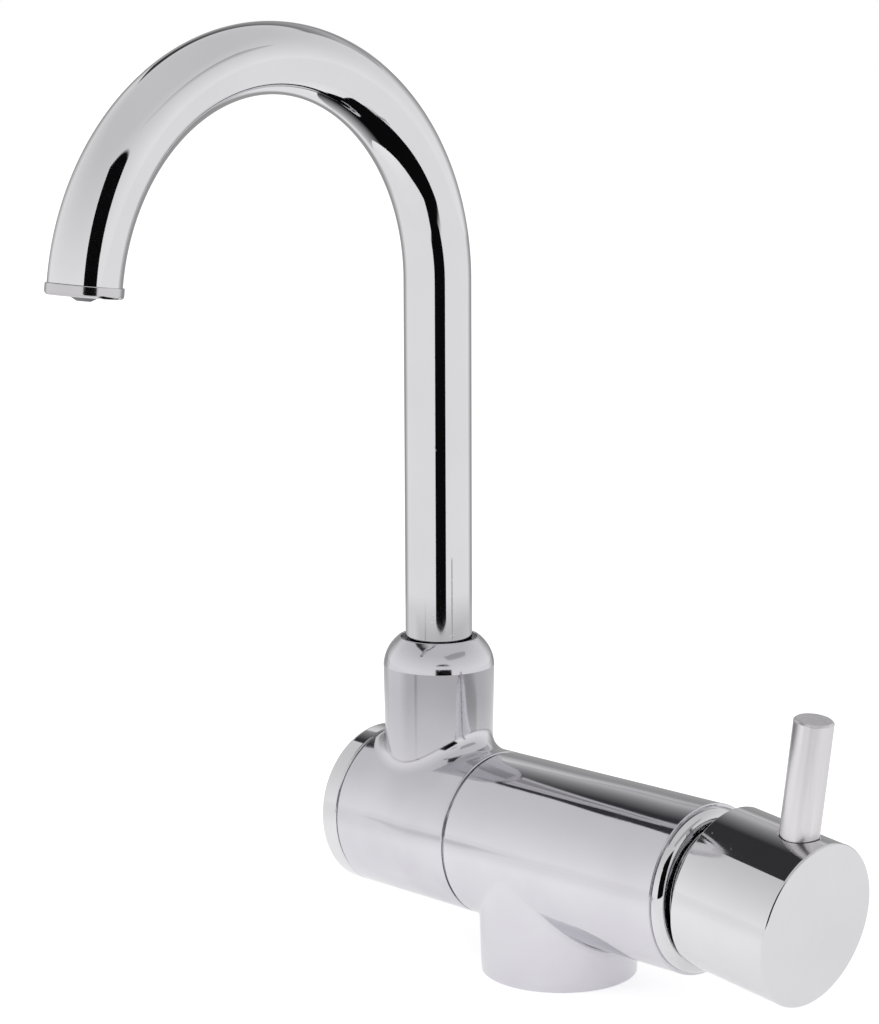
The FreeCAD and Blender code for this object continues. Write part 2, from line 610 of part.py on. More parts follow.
def body_casting():
    """Barrel and stem in one casting, with the cartridge bay, spindle seat and waterways."""
    left = -size["barrel_left"]
    right = size["barrel_right"]
    foot = -axis_height
    body = new_body("body_casting", BARREL)
    longer = left - size["stem_blend"] * 2
    revolve(body, "barrel", "X", [
        (longer, 0), (right, 0), (right, barrel_radius), (longer, barrel_radius),
    ])
    foot_radius = size["stem_diameter"] / 2
    top_radius = foot_radius + stem_rise
    revolve(body, "stem", "Z", [(0, foot), (foot_radius, foot), (top_radius, 0), (0, 0)])
    edge_round(body, "stem_blend", stem_edges(body, foot), size["stem_blend"])
    pocket(body, "left_face", "YZ_Plane",
           lambda sketch: draw_box(sketch, size["barrel_diameter"] * 2, size["barrel_diameter"] * 2),
           size["stem_blend"] * 3, offset=left)
    turned_round(body, "left_edge", left, 1, size["barrel_edge_round"])
    turned_round(body, "right_edge", right, -1, size["barrel_edge_round"])

    bay_radius = cartridge_radius + fit
    nut_radius = size["lock_nut_thread"] / 2
    nut_foot = shoulder - size["lock_nut_relief"]
    revolve(body, "cartridge_bay", "X", [
        (bay_floor, 0), (right + beyond, 0), (right + beyond, nut_radius), (nut_foot, nut_radius),
        (nut_foot, bay_radius), (bay_floor, bay_radius),
    ], cut=True)

    thread = size["spindle_thread_diameter"] / 2
    thread_end = left + size["spindle_thread_length"]
    chamber_end = thread_end + size["mixing_chamber_length"]
    recess = left + size["thrust_thickness"] - size["seam_gap"] + running
    revolve(body, "spindle_seat", "X", [
        (left - beyond, 0), (chamber_end, 0), (chamber_end, size["mixing_chamber_diameter"] / 2),
        (thread_end, size["mixing_chamber_diameter"] / 2), (thread_end, thread), (recess, thread),
        (recess, size["thrust_outer"] / 2 + fit), (left - beyond, size["thrust_outer"] / 2 + fit),
    ], cut=True)

    web = foot + size["underside_depth"]
    underside = size["underside_diameter"] / 2
    revolve(body, "underside", "Z", [
        (0, foot - beyond), (underside, foot - beyond), (underside, web), (0, web),
    ], cut=True)
    seal_inner = (foot_radius + underside) / 2 - size["deck_seal_width"] / 2
    seal_outer = seal_inner + size["deck_seal_width"]
    seal_top = foot + size["deck_seal_height"]
    revolve(body, "seal_groove", "Z", [
        (seal_inner, foot - beyond), (seal_outer, foot - beyond),
        (seal_outer, seal_top), (seal_inner, seal_top),
    ], cut=True)

    port_x = size["hose_port_offset"]
    bridge = axis_height - size["underside_depth"] - size["inlet_drop"]
    for side, across in (("hot", port_across), ("cold", -port_across)):
        pocket(body, side + "_port", "XY_Plane",
               lambda sketch: draw_circle(sketch, port_x, across, size["hose_port_diameter"]),
               size["hose_port_depth"], offset=web, reverse=True)
        pocket(body, side + "_riser", "XY_Plane",
               lambda sketch: draw_circle(sketch, port_x, across, size["waterway_diameter"]),
               bridge, offset=web, reverse=True)
        pocket(body, side + "_channel", "YZ_Plane",
               lambda sketch: draw_circle(sketch, across, -size["inlet_drop"], size["waterway_diameter"]),
               bay_floor - port_x, offset=bay_floor)
    pocket(body, "stud_hole", "XY_Plane",
           lambda sketch: draw_circle(sketch, -size["stud_hole_offset"], 0, size["stud_hole_diameter"]),
           size["stud_hole_depth"], offset=web, reverse=True)
    pocket(body, "mixed_channel", "YZ_Plane",
           lambda sketch: draw_circle(sketch, 0, size["mixed_rise"], size["mixed_diameter"]),
           bay_floor - chamber_end + size["mixing_chamber_length"] / 2, offset=bay_floor)

    ring("deck_seal", STEM, "Z", seal_inner, seal_outer, 0, size["deck_seal_height"])


def stem_edges(body, foot):
    """The edges where stem and barrel meet: not circles, and between foot and axis."""
    names = []
    for number, edge in enumerate(body.Tip.Shape.Edges, start=1):
        box = edge.BoundBox
        if isinstance(edge.Curve, (Part.Circle, Part.Line)):
            continue
        if box.ZMin > foot.number + beyond.number:
            names.append("Edge%d" % number)
    return names


def fold_joint():
    """Hollow spindle in the body, with the washers and the nut that hold the elbow block."""
    left = -size["barrel_left"]
    thread = size["spindle_thread_diameter"] / 2
    thread_end = left + size["spindle_thread_length"]
    recess = left + size["thrust_thickness"] - size["seam_gap"] + running
    shaft = spindle_radius
    nut_side = -pocket_floor - size["thrust_thickness"] - running
    end = size["spindle_end_set_in"] - size["cap_seam"]
    port = -size["spout_offset"]
    port_half = size["spindle_port_groove"] / 2
    port_floor = shaft - size["spindle_port_groove_depth"]
    groove_half = size["ring_groove_width"] / 2
    groove_floor = shaft - size["ring_section"]
    spread = size["spindle_ring_spread"]
    bore = size["spindle_bore"] / 2
    body = new_body("pivot_spindle", BARREL)
    outline = [(thread_end, bore), (thread_end, thread), (recess, thread), (recess, shaft)]
    for middle, half, floor in (
        (port + spread, groove_half, groove_floor),
        (port, port_half, port_floor),
        (port - spread, groove_half, groove_floor),
    ):
        outline += [
            (middle + half, shaft), (middle + half, floor),
            (middle - half, floor), (middle - half, shaft),
        ]
    outline += [
        (nut_side, shaft), (nut_side, nut_thread_radius), (end, nut_thread_radius), (end, 0),
        (port - port_half, 0), (port - port_half, bore),
    ]
    revolve(body, "spindle_turned", "X", outline)
    for name, plane, turned in (("upright_ports", "XY_Plane", False), ("level_ports", "XZ_Plane", True)):
        pocket(body, name, plane,
               lambda sketch: draw_circle(sketch, port, 0, size["spindle_port_diameter"]),
               size["spindle_diameter"], both=True)

    outside = shaft + running / 2
    rings = [
        torus("spindle_ring_right", BARREL, "X", port + spread, outside, size["ring_section"]),
        torus("spindle_ring_left", BARREL, "X", port - spread, outside, size["ring_section"]),
    ]
    group("spindle_sealing_rings", rings)

    thrust_outer = size["thrust_outer"] / 2
    thrust_inner = size["thrust_inner"] / 2
    ring("thrust_washer", BARREL, "X", thrust_inner, thrust_outer,
         recess - size["thrust_thickness"], recess)
    friction_right = -pocket_floor - running
    ring("friction_washer", BARREL, "X", shaft + fit, size["friction_outer"] / 2,
         friction_right - size["thrust_thickness"], friction_right)

    cone = size["disc_spring_height"] - size["disc_spring_thickness"]
    high = nut_side
    body = new_body("disc_spring", BARREL)
    revolve(body, "disc_spring_turned", "X", [
        (high - cone, nut_thread_radius + fit), (high, size["spindle_nut_flats"] / 2),
        (high - size["disc_spring_thickness"], size["spindle_nut_flats"] / 2),
        (high - size["disc_spring_height"], nut_thread_radius + fit),
    ])

    nut_right = high - size["disc_spring_height"]
    body = new_body("spindle_nut", BARREL)
    pad(body, "nut_block", "YZ_Plane", lambda sketch: draw_hexagon(sketch, size["spindle_nut_flats"]),
        size["spindle_nut_height"], offset=nut_right, reverse=True)
    pocket(body, "nut_bore", "YZ_Plane",
           lambda sketch: draw_circle(sketch, 0, 0, size["spindle_nut_thread"] + fit * 2),
           size["spindle_nut_height"], offset=nut_right)


def elbow_block():
    """Casting that turns on the spindle and carries the tower for the spout."""
    overrun = size["tower_blend"] * 2
    top = size["tower_height"]
    dome_foot = top - size["dome_height"]
    lip = tower_bore_radius + size["mouth_lip"]
    body = new_body("elbow_block", TOWER)
    revolve(body, "block", "X", [
        (-block_left - overrun, 0), (block_right, 0), (block_right, barrel_radius),
        (-block_left - overrun, barrel_radius),
    ])
    revolve(body, "tower", "Z", [
        (0, 0), (size["tower_foot_diameter"] / 2, 0),
        (tower_radius, dome_foot, (size["dome_radius"], "left")),
        (lip, top), (0, top),
    ])
    edge_round(body, "tower_blend", stem_edges(body, as_size(0)), size["tower_blend"])
    pocket(body, "block_end", "YZ_Plane",
           lambda sketch: draw_box(sketch, size["barrel_diameter"] * 2, size["barrel_diameter"] * 3),
           overrun * 2, offset=-block_left)
    turned_round(body, "right_edge", block_right, -1, size["barrel_edge_round"])

    bore = spindle_radius + running
    pocket_radius = size["nut_pocket_diameter"] / 2
    floor = -block_left + size["nut_pocket_depth"]
    revolve(body, "spindle_bore", "X", [
        (-block_left - beyond, 0), (block_right + beyond, 0), (block_right + beyond, bore), (floor, bore),
        (floor, pocket_radius), (-block_left - beyond, pocket_radius),
    ], cut=True)
    waterway = size["tower_waterway"] / 2
    revolve(body, "spout_bore", "Z", [
        (0, 0), (waterway, 0), (waterway, tower_floor), (tower_bore_radius, tower_floor),
        (tower_bore_radius, top + beyond), (0, top + beyond),
    ], cut=True)
    pocket(body, "retaining_hole", "XZ_Plane",
           lambda sketch: draw_circle(sketch, 0, retaining_level, size["retaining_screw_diameter"]),
           tower_radius + beyond)

    body = new_body("end_cap", TOWER)
    seam = -block_left
    face = seam - size["cap_thickness"]
    spigot_outer = pocket_radius - fit
    spigot_inner = spigot_outer - size["cap_spigot_wall"]
    spigot_end = seam + size["cap_spigot_length"]
    revolve(body, "cap_turned", "X", [
        (face, 0), (seam, 0), (seam, spigot_inner),
        (spigot_end, spigot_inner), (spigot_end, spigot_outer),
        (seam, spigot_outer), (seam, barrel_radius), (face, barrel_radius),
    ])
    edge_round(body, "cap_edge", circle_edges(body, 0, face, barrel_radius), size["cap_edge_round"])
    edge_round(body, "cap_seam_edge", circle_edges(body, 0, seam, barrel_radius), size["cap_inner_round"])

    guide_top = top - size["guide_recess"]
    ring("spout_guide_ring", TOWER, "Z", tube_radius + running, tower_bore_radius - fit,
         guide_top - size["guide_height"], guide_top)

    body = new_body("spout_retaining_screw", TOWER)
    tip = tower_bore_radius - running - size["retaining_groove_depth"] + size["retaining_tip_clearance"]
    thread_start = tower_bore_radius + size["retaining_thread_stop"]
    outer = tower_radius - size["retaining_set_in"]
    pad(body, "screw_thread", "XZ_Plane",
        lambda sketch: draw_circle(
            sketch, 0, retaining_level, size["retaining_screw_diameter"] - fit * 2),
        outer - thread_start, offset=-thread_start, reverse=True)
    pad(body, "screw_tip", "XZ_Plane",
        lambda sketch: draw_circle(sketch, 0, retaining_level, size["retaining_tip_diameter"]),
        thread_start - tip, offset=-thread_start)
    pocket(body, "screw_socket", "XZ_Plane",
           lambda sketch: draw_hexagon(sketch, size["key_flats"], 0, retaining_level),
           size["key_depth"], offset=-outer, reverse=True)


def spout():
    """Swan-neck tube on its ferrule, with sealing rings and the aerator at its outlet."""
    body = new_body("spout_tube", TOWER)
    section = new_sketch(body, "tube_section", "XY_Plane", tube_foot)
    draw_circle(section, 0, 0, size["tube_diameter"])
    draw_circle(section, 0, 0, tube_inner * 2)
    path = new_sketch(body, "tube_path", "YZ_Plane")
    spring = size["arch_centre_height"]
    radius = size["arch_radius"]
    sweep = size["arch_sweep"]
    end_y = -radius * (as_size(1) - cosine(sweep))
    end_z = spring + radius * sine(sweep)
    line = Part.LineSegment(
        FreeCAD.Vector(0, tube_foot.number, 0), FreeCAD.Vector(0, spring.number, 0))
    path.addGeometry(line, False)
    circle = Part.Circle(
        FreeCAD.Vector(-radius.number, spring.number, 0), FreeCAD.Vector(0, 0, 1), radius.number)
    path.addGeometry(Part.ArcOfCircle(circle, 0, math.radians(sweep.number)), False)
    path.addConstraint(Sketcher.Constraint("Coincident", 0, 2, 1, 1))
    pin_point(path, 0, 1, 0, tube_foot)
    pin_point(path, 0, 2, 0, spring)
    pin_point(path, 1, 3, -radius, spring)
    height = path.addConstraint(Sketcher.Constraint("DistanceY", -1, 1, 1, 2, end_z.number))
    bind(path, "Constraints[%d]" % height, end_z)
    tube = body.newObject("PartDesign::AdditivePipe", "tube_swept")
    tube.Profile = section
    tube.Spine = path
    doc.recompute()

    top = ferrule_top
    outer = tower_bore_radius - running
    bore = size["ferrule_bore"] / 2
    socket = tube_radius + fit
    groove_floor = outer - size["ring_section"]
    lower = ferrule_foot + size["ring_groove_width"]
    upper = lower + size["ring_groove_width"] * 2
    half = size["retaining_groove_width"] / 2
    keeper_floor = outer - size["retaining_groove_depth"]
    body = new_body("spout_ferrule", TOWER)
    revolve(body, "ferrule_turned", "Z", [
        (bore, ferrule_foot), (outer, ferrule_foot),
        (outer, lower), (groove_floor, lower),
        (groove_floor, lower + size["ring_groove_width"]), (outer, lower + size["ring_groove_width"]),
        (outer, upper), (groove_floor, upper),
        (groove_floor, upper + size["ring_groove_width"]), (outer, upper + size["ring_groove_width"]),
        (outer, retaining_level - half), (keeper_floor, retaining_level - half),
        (keeper_floor, retaining_level + half), (outer, retaining_level + half),
        (outer, top), (socket, top), (socket, tube_foot), (bore, tube_foot),
    ])
    outside = outer + running / 2
    middle = size["ring_groove_width"] / 2
    rings = [
        torus("spout_ring_lower", TOWER, "Z", lower + middle, outside, size["ring_section"]),
        torus("spout_ring_upper", TOWER, "Z", upper + middle, outside, size["ring_section"]),
    ]
    group("spout_sealing_rings", rings)
    aerator()


def aerator():
    """Housing screwed into the tube, with its insert, strainer and washer."""
    band = size["aerator_band"]
    outer = size["aerator_diameter"] / 2
    bore = size["aerator_bore"] / 2
    washer_top = size["aerator_sleeve"] + size["aerator_washer_height"]
    curve_loss = washer_top * washer_top / (size["arch_radius"] - tube_inner) / 2
    sleeve = tube_inner - fit - curve_loss
    lip = size["aerator_lip"]
    body = new_body("aerator_housing", OUTLET)
    revolve(body, "housing_turned", "Z", [
        (bore - lip, -band), (outer, -band), (outer, 0), (sleeve, 0), (sleeve, size["aerator_sleeve"]),
        (bore, size["aerator_sleeve"]), (bore, lip - band), (bore - lip, lip - band),
    ])
    edge_round(body, "band_edge", circle_edges(body, 2, -band, outer), size["aerator_band_round"])

    nub = size["aerator_nub_diameter"] / 2
    insert = bore - fit
    shelf = lip - band
    insert_top = size["aerator_sleeve"] - size["aerator_screen_thickness"] - size["aerator_screen_set_in"]
    nub_low = -band - size["aerator_nub"]
    body = new_body("aerator_insert", OUTLET)
    revolve(body, "insert_turned", "Z", [
        (0, nub_low), (nub / 2, nub_low), (nub, -band), (bore - lip - fit, -band),
        (bore - lip - fit, shelf), (insert, shelf), (insert, insert_top), (0, insert_top),
    ])
    jet = pocket(body, "first_jet", "XY_Plane",
                 lambda sketch: draw_circle(
                     sketch, size["aerator_hole_circle"] / 2, 0, size["aerator_hole_diameter"]),
                 insert_top + band + beyond * 2, offset=insert_top + beyond)
    polar(body, "jets", jet, "Z", size["aerator_hole_count"])

    screen_top = insert_top + size["aerator_screen_thickness"]
    body = new_body("aerator_strainer", OUTLET)
    revolve(body, "strainer_turned", "Z", [
        (0, insert_top), (insert, insert_top), (insert, screen_top), (0, screen_top),
    ])

    ring("aerator_washer", OUTLET, "Z", bore - lip, sleeve, size["aerator_sleeve"], washer_top)


def cartridge():
    """Ceramic cartridge: ported base, two discs, carrier, rotor and lever in a two-step housing."""
    inner = cartridge_radius - size["cartridge_wall"]
    inlet_rise = -size["inlet_drop"]
    ports = (
        (port_across, inlet_rise, size["waterway_diameter"]),
        (-port_across, inlet_rise, size["waterway_diameter"]),
        (as_size(0), size["mixed_rise"], size["mixed_diameter"]),
    )

    def draw_ports(sketch):
        for across, rise, diameter in ports:
            draw_circle(sketch, across, rise, diameter)

    def draw_seal_seats(sketch):
        for across, rise, diameter in ports:
            draw_circle(sketch, across, rise, diameter + size["cartridge_port_seal"] * 2)

    body = new_body("cartridge_base", BARREL)
    thickness = size["cartridge_base_thickness"]
    revolve(body, "base_turned", "X", [
        (bay_floor, 0), (fixed_disc_foot, 0),
        (fixed_disc_foot, cartridge_radius), (bay_floor, cartridge_radius),
    ])
    pocket(body, "base_ports", "YZ_Plane", draw_ports, thickness, offset=fixed_disc_foot)
    pocket(body, "seal_seats", "YZ_Plane", draw_seal_seats, size["cartridge_port_seal"],
           offset=bay_floor, reverse=True)

    seals = []
    for number, (across, rise, diameter) in enumerate(ports, start=1):
        outer = doc.addObject("Part::Cylinder", "port_seal_outside_%d" % number)
        hole = doc.addObject("Part::Cylinder", "port_seal_hole_%d" % number)
        bind(outer, "Radius", diameter / 2 + size["cartridge_port_seal"])
        bind(hole, "Radius", diameter / 2)
        for shape in (outer, hole):
            bind(shape, "Height", size["cartridge_port_seal"])
            shape.Placement.Rotation = FreeCAD.Rotation(FreeCAD.Vector(0, 1, 0), 90)
            bind(shape, "Placement.Base.x", bay_floor)
            bind(shape, "Placement.Base.y", across)
            bind(shape, "Placement.Base.z", axis_height + rise)
        seal = doc.addObject("Part::Cut", "port_seal_%d" % number)
        seal.Base = outer
        seal.Tool = hole
        seals.append(seal)
    group("cartridge_port_seals", seals)

    disc_radius = size["fixed_disc_diameter"] / 2
    body = new_body("fixed_ceramic_disc", BARREL)
    revolve(body, "fixed_disc_turned", "X", [
        (fixed_disc_foot, 0), (moving_disc_foot, 0),
        (moving_disc_foot, disc_radius), (fixed_disc_foot, disc_radius),
    ])
    pocket(body, "disc_ports", "YZ_Plane", draw_ports, size["disc_thickness"], offset=moving_disc_foot)

    moving_radius = size["moving_disc_diameter"] / 2
    face = moving_disc_foot + running / 2
    body = new_body("moving_ceramic_disc", DISC)
    revolve(body, "moving_disc_turned", "X", [
        (face, 0), (carrier_foot, 0), (carrier_foot, moving_radius), (face, moving_radius),
    ])
    pocket(body, "mixing_hollow", "YZ_Plane",
           lambda sketch: draw_box(sketch, size["carrier_width"], size["mixed_diameter"]),
           size["disc_thickness"] / 2, offset=face, reverse=True)

    body = new_body("disc_carrier", DISC)
    flange_top = carrier_foot + size["carrier_flange"]
    revolve(body, "carrier_flange", "X", [
        (carrier_foot, 0), (flange_top, 0), (flange_top, moving_radius), (carrier_foot, moving_radius),
    ])
    pad(body, "carrier_block", "YZ_Plane",
        lambda sketch: draw_box(sketch, size["carrier_width"], size["carrier_depth"]),
        size["carrier_height"], offset=flange_top)
    pocket(body, "ball_socket", "YZ_Plane",
           lambda sketch: draw_circle(sketch, 0, 0, size["lever_ball_diameter"] + size["ball_play"] * 2),
           size["carrier_height"], offset=carrier_top)

    body = new_body("cartridge_housing", BARREL)
    ceiling = shoulder - size["cartridge_wall"]
    lip_inner = neck_inner - size["cartridge_lip_width"]
    lip_low = neck_top - size["cartridge_lip"]
    revolve(body, "housing_turned", "X", [
        (fixed_disc_foot, inner), (fixed_disc_foot, cartridge_radius), (shoulder, cartridge_radius),
        (shoulder, neck_radius), (neck_top, neck_radius), (neck_top, lip_inner), (lip_low, lip_inner),
        (lip_low, neck_inner), (ceiling, neck_inner), (ceiling, inner),
    ])

    body = new_body("cartridge_rotor", BARREL)
    fork_end = rotor_foot - size["rotor_fork"]
    revolve(body, "rotor_turned", "X", [
        (fork_end, 0), (rotor_top, 0), (rotor_top, rotor_radius), (fork_end, rotor_radius),
    ])
    pocket(body, "rotor_fork", "YZ_Plane",
           lambda sketch: draw_box(sketch, size["carrier_width"] + running * 2, rotor_radius * 3),
           size["rotor_fork"], offset=fork_end, reverse=True)
    pocket(body, "lever_slot", "YZ_Plane",
           lambda sketch: draw_box(sketch, size["rotor_slot"], size["rotor_slot_length"]),
           rotor_top - rotor_foot, offset=rotor_top)
    pocket(body, "pivot_hole", "XZ_Plane",
           lambda sketch: draw_circle(
               sketch, size["pivot_reach"], 0, size["pivot_pin_diameter"] + fit * 2),
           rotor_radius * 3, both=True)

    pin = doc.addObject("Part::Cylinder", "lever_pivot_pin")
    pin.Label = "lever_pivot_pin"
    parts.append(pin)
    pin.Placement.Rotation = FreeCAD.Rotation(FreeCAD.Vector(1, 0, 0), 90)
    pin_half = rotor_radius - size["pivot_pin_set_in"]
    bind(pin, "Radius", size["pivot_pin_diameter"] / 2)
    bind(pin, "Height", pin_half * 2)
    bind(pin, "Placement.Base.x", size["pivot_reach"])
    bind(pin, "Placement.Base.y", pin_half)
    bind(pin, "Placement.Base.z", axis_height)

    body = new_body("cartridge_lever", KNOB)
    reach = -lever_reach
    arm = size["lever_arm_diameter"] / 2
    ball = size["lever_ball_diameter"] / 2
    revolve(body, "lever_ball", "X", [
        (reach - ball, 0, (ball, "right")), (reach, ball, (ball, "right")), (reach + ball, 0),
    ])
    revolve(body, "lever_arm", "X", [(reach, 0), (0, 0), (0, arm), (reach, arm)])
    square_foot = size["lever_square_foot"]
    pad(body, "lever_square", "YZ_Plane",
        lambda sketch: draw_box(sketch, size["lever_square"], size["lever_square"]),
        size["lever_square_length"] + square_foot, offset=-square_foot)
    pocket(body, "lever_eye", "XZ_Plane",
           lambda sketch: draw_circle(sketch, 0, 0, size["pivot_pin_diameter"] + running * 2),
           size["lever_square"] * 2, both=True)

    right = size["barrel_right"]
    nut_end = shoulder + size["lock_nut_length"]
    nut_inner = neck_radius + size["lock_nut_play"]
    thread = size["lock_nut_thread"] / 2 - fit
    nose = size["lock_nut_nose"] / 2
    thread_end = right - size["lock_nut_set_in"]
    body = new_body("cartridge_lock_nut", BARREL)
    revolve(body, "lock_nut_turned", "X", [
        (shoulder, nut_inner), (nut_end, nut_inner), (nut_end, nose), (thread_end, nose),
        (thread_end, thread), (shoulder, thread),
    ])
    pocket(body, "spanner_slots", "YZ_Plane",
           lambda sketch: draw_box(sketch, size["lock_nut_slot"], size["lock_nut_thread"]),
           size["lock_nut_slot_depth"], offset=nut_end)

    bezel = size["bezel_diameter"] / 2
    bezel_neck = size["bezel_neck_diameter"] / 2
    bezel_end = right + size["bezel_length"]
    dome_end = right + size["bezel_dome"]
    nose_end = nut_end + size["bezel_nose_gap"]
    body = new_body("bezel_ring", BARREL)
    revolve(body, "bezel_turned", "X", [
        (right, nose + fit), (nose_end, nose + fit), (nose_end, nut_inner), (bezel_end, nut_inner),
        (bezel_end, bezel_neck - size["bezel_neck_taper"]),
        (dome_end, bezel_neck, (size["bezel_dome_radius"], "left")),
        (right, bezel),
    ])


def handle():
    """Knob, round pin and the screws that hold them."""
    rim = -size["knob_rim_reach"]
    face = knob_face
    skirt = rim + size["knob_skirt_depth"]
    cavity_end = rim + size["knob_cavity_depth"]
    skirt_inner = knob_radius - size["knob_wall"]
    cavity = size["knob_cavity_diameter"] / 2
    body = new_body("handle_knob", KNOB)
    revolve(body, "knob_turned", "X", [
        (rim, skirt_inner), (skirt, skirt_inner), (skirt, cavity), (cavity_end, cavity), (cavity_end, 0),
        (face, 0), (face, knob_radius), (rim, knob_radius),
    ])
    edge_round(body, "face_edge", circle_edges(body, 0, face, knob_radius), size["knob_edge_round"])
    socket_depth = size["lever_square_length"] - cavity_end + fit * 2
    pocket(body, "lever_socket", "YZ_Plane",
           lambda sketch: draw_box(
               sketch, size["lever_square"] + fit * 2, size["lever_square"] + fit * 2),
           socket_depth, offset=cavity_end, reverse=True)
    pin_foot = knob_radius - size["pin_recess_depth"]
    pocket(body, "pin_recess", "XY_Plane",
           lambda sketch: draw_circle(
               sketch, pin_axis, 0, size["handle_pin_diameter"] + size["pin_recess_play"] * 2),
           size["pin_recess_depth"] + beyond, offset=knob_radius + beyond)
    pocket(body, "pin_thread", "XY_Plane",
           lambda sketch: draw_circle(sketch, pin_axis, 0, size["pin_stud_diameter"]),
           size["pin_stud_depth"], offset=pin_foot)
    screw_axis = size["knob_screw_station"] - size["knob_rim_reach"]
    pocket(body, "grub_hole", "XY_Plane",
           lambda sketch: draw_circle(sketch, screw_axis, 0, size["knob_screw_diameter"]),
           knob_radius + beyond, offset=-knob_radius - beyond, reverse=True)

    body = new_body("handle_pin", KNOB)
    pin_radius = size["handle_pin_diameter"] / 2
    pin_top = knob_radius + size["handle_pin_height"]
    pad(body, "pin_bar", "XY_Plane",
        lambda sketch: draw_circle(sketch, pin_axis, 0, size["handle_pin_diameter"]),
        pin_top - pin_foot, offset=pin_foot)
    edge_round(body, "pin_edge", circle_edges(body, 2, pin_top, pin_radius), size["handle_pin_chamfer"],
               kind="PartDesign::Chamfer")
    pocket(body, "pin_thread", "XY_Plane",
           lambda sketch: draw_circle(sketch, pin_axis, 0, size["pin_stud_diameter"]),
           size["pin_stud_height"], offset=pin_foot, reverse=True)

    body = new_body("handle_pin_stud", KNOB)
    pad(body, "stud_bar", "XY_Plane",
        lambda sketch: draw_circle(sketch, pin_axis, 0, size["pin_stud_diameter"] - fit * 2),
        size["pin_stud_depth"] + size["pin_stud_height"] - size["pin_stud_end_play"] * 2,
        offset=pin_foot - size["pin_stud_depth"] + size["pin_stud_end_play"])

    body = new_body("knob_grub_screw", KNOB)
    screw_top = -size["lever_square"] / 2 - fit
    screw_foot = screw_top - size["knob_screw_length"]
    pad(body, "grub_bar", "XY_Plane",
        lambda sketch: draw_circle(sketch, screw_axis, 0, size["knob_screw_diameter"] - fit * 2),
        size["knob_screw_length"], offset=screw_foot)
    pocket(body, "grub_socket", "XY_Plane",
           lambda sketch: draw_hexagon(sketch, size["key_flats"], screw_axis, 0),
           size["key_depth"], offset=screw_foot, reverse=True)


body_casting()
fold_joint()
elbow_block()
spout()
cartridge()
handle()
doc.recompute()

for item in doc.Objects:
    if "Invalid" in item.State or "Error" in item.State:
        raise RuntimeError("%s failed: %s" % (item.Name, item.State))
for part in parts:
    if part.Shape.isNull() or not part.Shape.isValid():
        raise RuntimeError("%s has no valid shape" % part.Label)

os.makedirs("parts", exist_ok=True)
for part in parts:
    part.Shape.exportStep(os.path.join("parts", part.Label + ".step"))
    print("%-24s %2d solid %9.1f mm3" % (part.Label, len(part.Shape.Solids), part.Shape.Volume))
print("pieces", len(parts))
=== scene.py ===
import math

import bpy
from mathutils import Matrix, Vector
from mathutils.bvhtree import BVHTree
from mathutils.interpolate import poly_3d_calc


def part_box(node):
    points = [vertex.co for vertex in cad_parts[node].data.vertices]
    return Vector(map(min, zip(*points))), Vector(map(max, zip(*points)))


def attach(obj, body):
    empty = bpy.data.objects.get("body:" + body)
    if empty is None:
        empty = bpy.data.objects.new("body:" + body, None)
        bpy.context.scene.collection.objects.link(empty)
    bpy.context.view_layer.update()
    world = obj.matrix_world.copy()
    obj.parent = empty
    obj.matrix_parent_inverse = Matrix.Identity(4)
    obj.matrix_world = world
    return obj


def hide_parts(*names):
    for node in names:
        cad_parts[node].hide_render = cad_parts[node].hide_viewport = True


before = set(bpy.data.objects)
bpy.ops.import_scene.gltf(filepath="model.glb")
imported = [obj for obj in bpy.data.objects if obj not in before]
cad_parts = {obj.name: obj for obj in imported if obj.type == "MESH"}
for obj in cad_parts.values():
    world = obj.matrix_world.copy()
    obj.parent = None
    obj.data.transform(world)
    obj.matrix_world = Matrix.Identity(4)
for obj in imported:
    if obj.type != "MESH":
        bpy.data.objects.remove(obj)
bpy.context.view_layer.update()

# Folding kitchen mixer tap in polished chrome. Metres, in the frame of the solids: +Z up, +X along the
# barrel towards the knob, and the spout reaches towards -Y. Drawing sizes below are in millimetres.

MM = 0.001


def node_box(node):
    """Lowest and highest corner of a node, in millimetres."""
    low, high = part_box(node)
    return low / MM, high / MM


# Sizes read from the frame
barrel_low, barrel_high = node_box("body_casting")
elbow_low, elbow_high = node_box("elbow_block")
cap_low, cap_high = node_box("end_cap")
tube_low, tube_high = node_box("spout_tube")
bezel_end = node_box("bezel_ring")[1].x
nut_end = node_box("cartridge_lock_nut")[1].x

RUN_RADIUS = (cap_high.z - cap_low.z) / 2
AXIS_HEIGHT = (cap_high.z + cap_low.z) / 2
TOWER_X = (tube_high.x + tube_low.x) / 2
TUBE_RADIUS = (tube_high.x - tube_low.x) / 2
TOWER_TOP = elbow_high.z - AXIS_HEIGHT
BARREL_LEFT = barrel_low.x
BARREL_RIGHT = barrel_high.x
BLOCK_LEFT = elbow_low.x
BLOCK_RIGHT = elbow_high.x
CAP_FACE = cap_low.x

# Sizes of the details
SEAM_ROUND = 0.4
RELIEF_WIDTH = 0.5
RELIEF_DEPTH = 0.9
CREASE_ROUND = 0.25
BORE_ROUND = 0.2
FINE_ROUND = 0.1
THREAD_ROUND = 0.02
CUTTER_ROUND = 0.01
CUTTER_OVERRUN = 2.0
TAIL_STEP = 1.0
STEM_FOOT_RADIUS = 20.6
STEM_DRAFT = math.tan(math.radians(2.0))
STEM_BLEND = 3.0
STEM_FOOT_ROUND = 0.4
RECESS_RADIUS = 16.5
RECESS_DEPTH = 9.0
PORT_RADIUS = 5.0
PORT_AHEAD = 3.0
PORT_ASIDE = 8.5
PORT_DEPTH = 10.0
PORT_PITCH = 1.0
STUD_HOLE_RADIUS = 4.0
STUD_HOLE_AHEAD = -11.0
STUD_HOLE_DEPTH = 9.0
STUD_PITCH = 1.25
THREAD_DEPTH = 0.35
THREAD_FLANK = 0.4
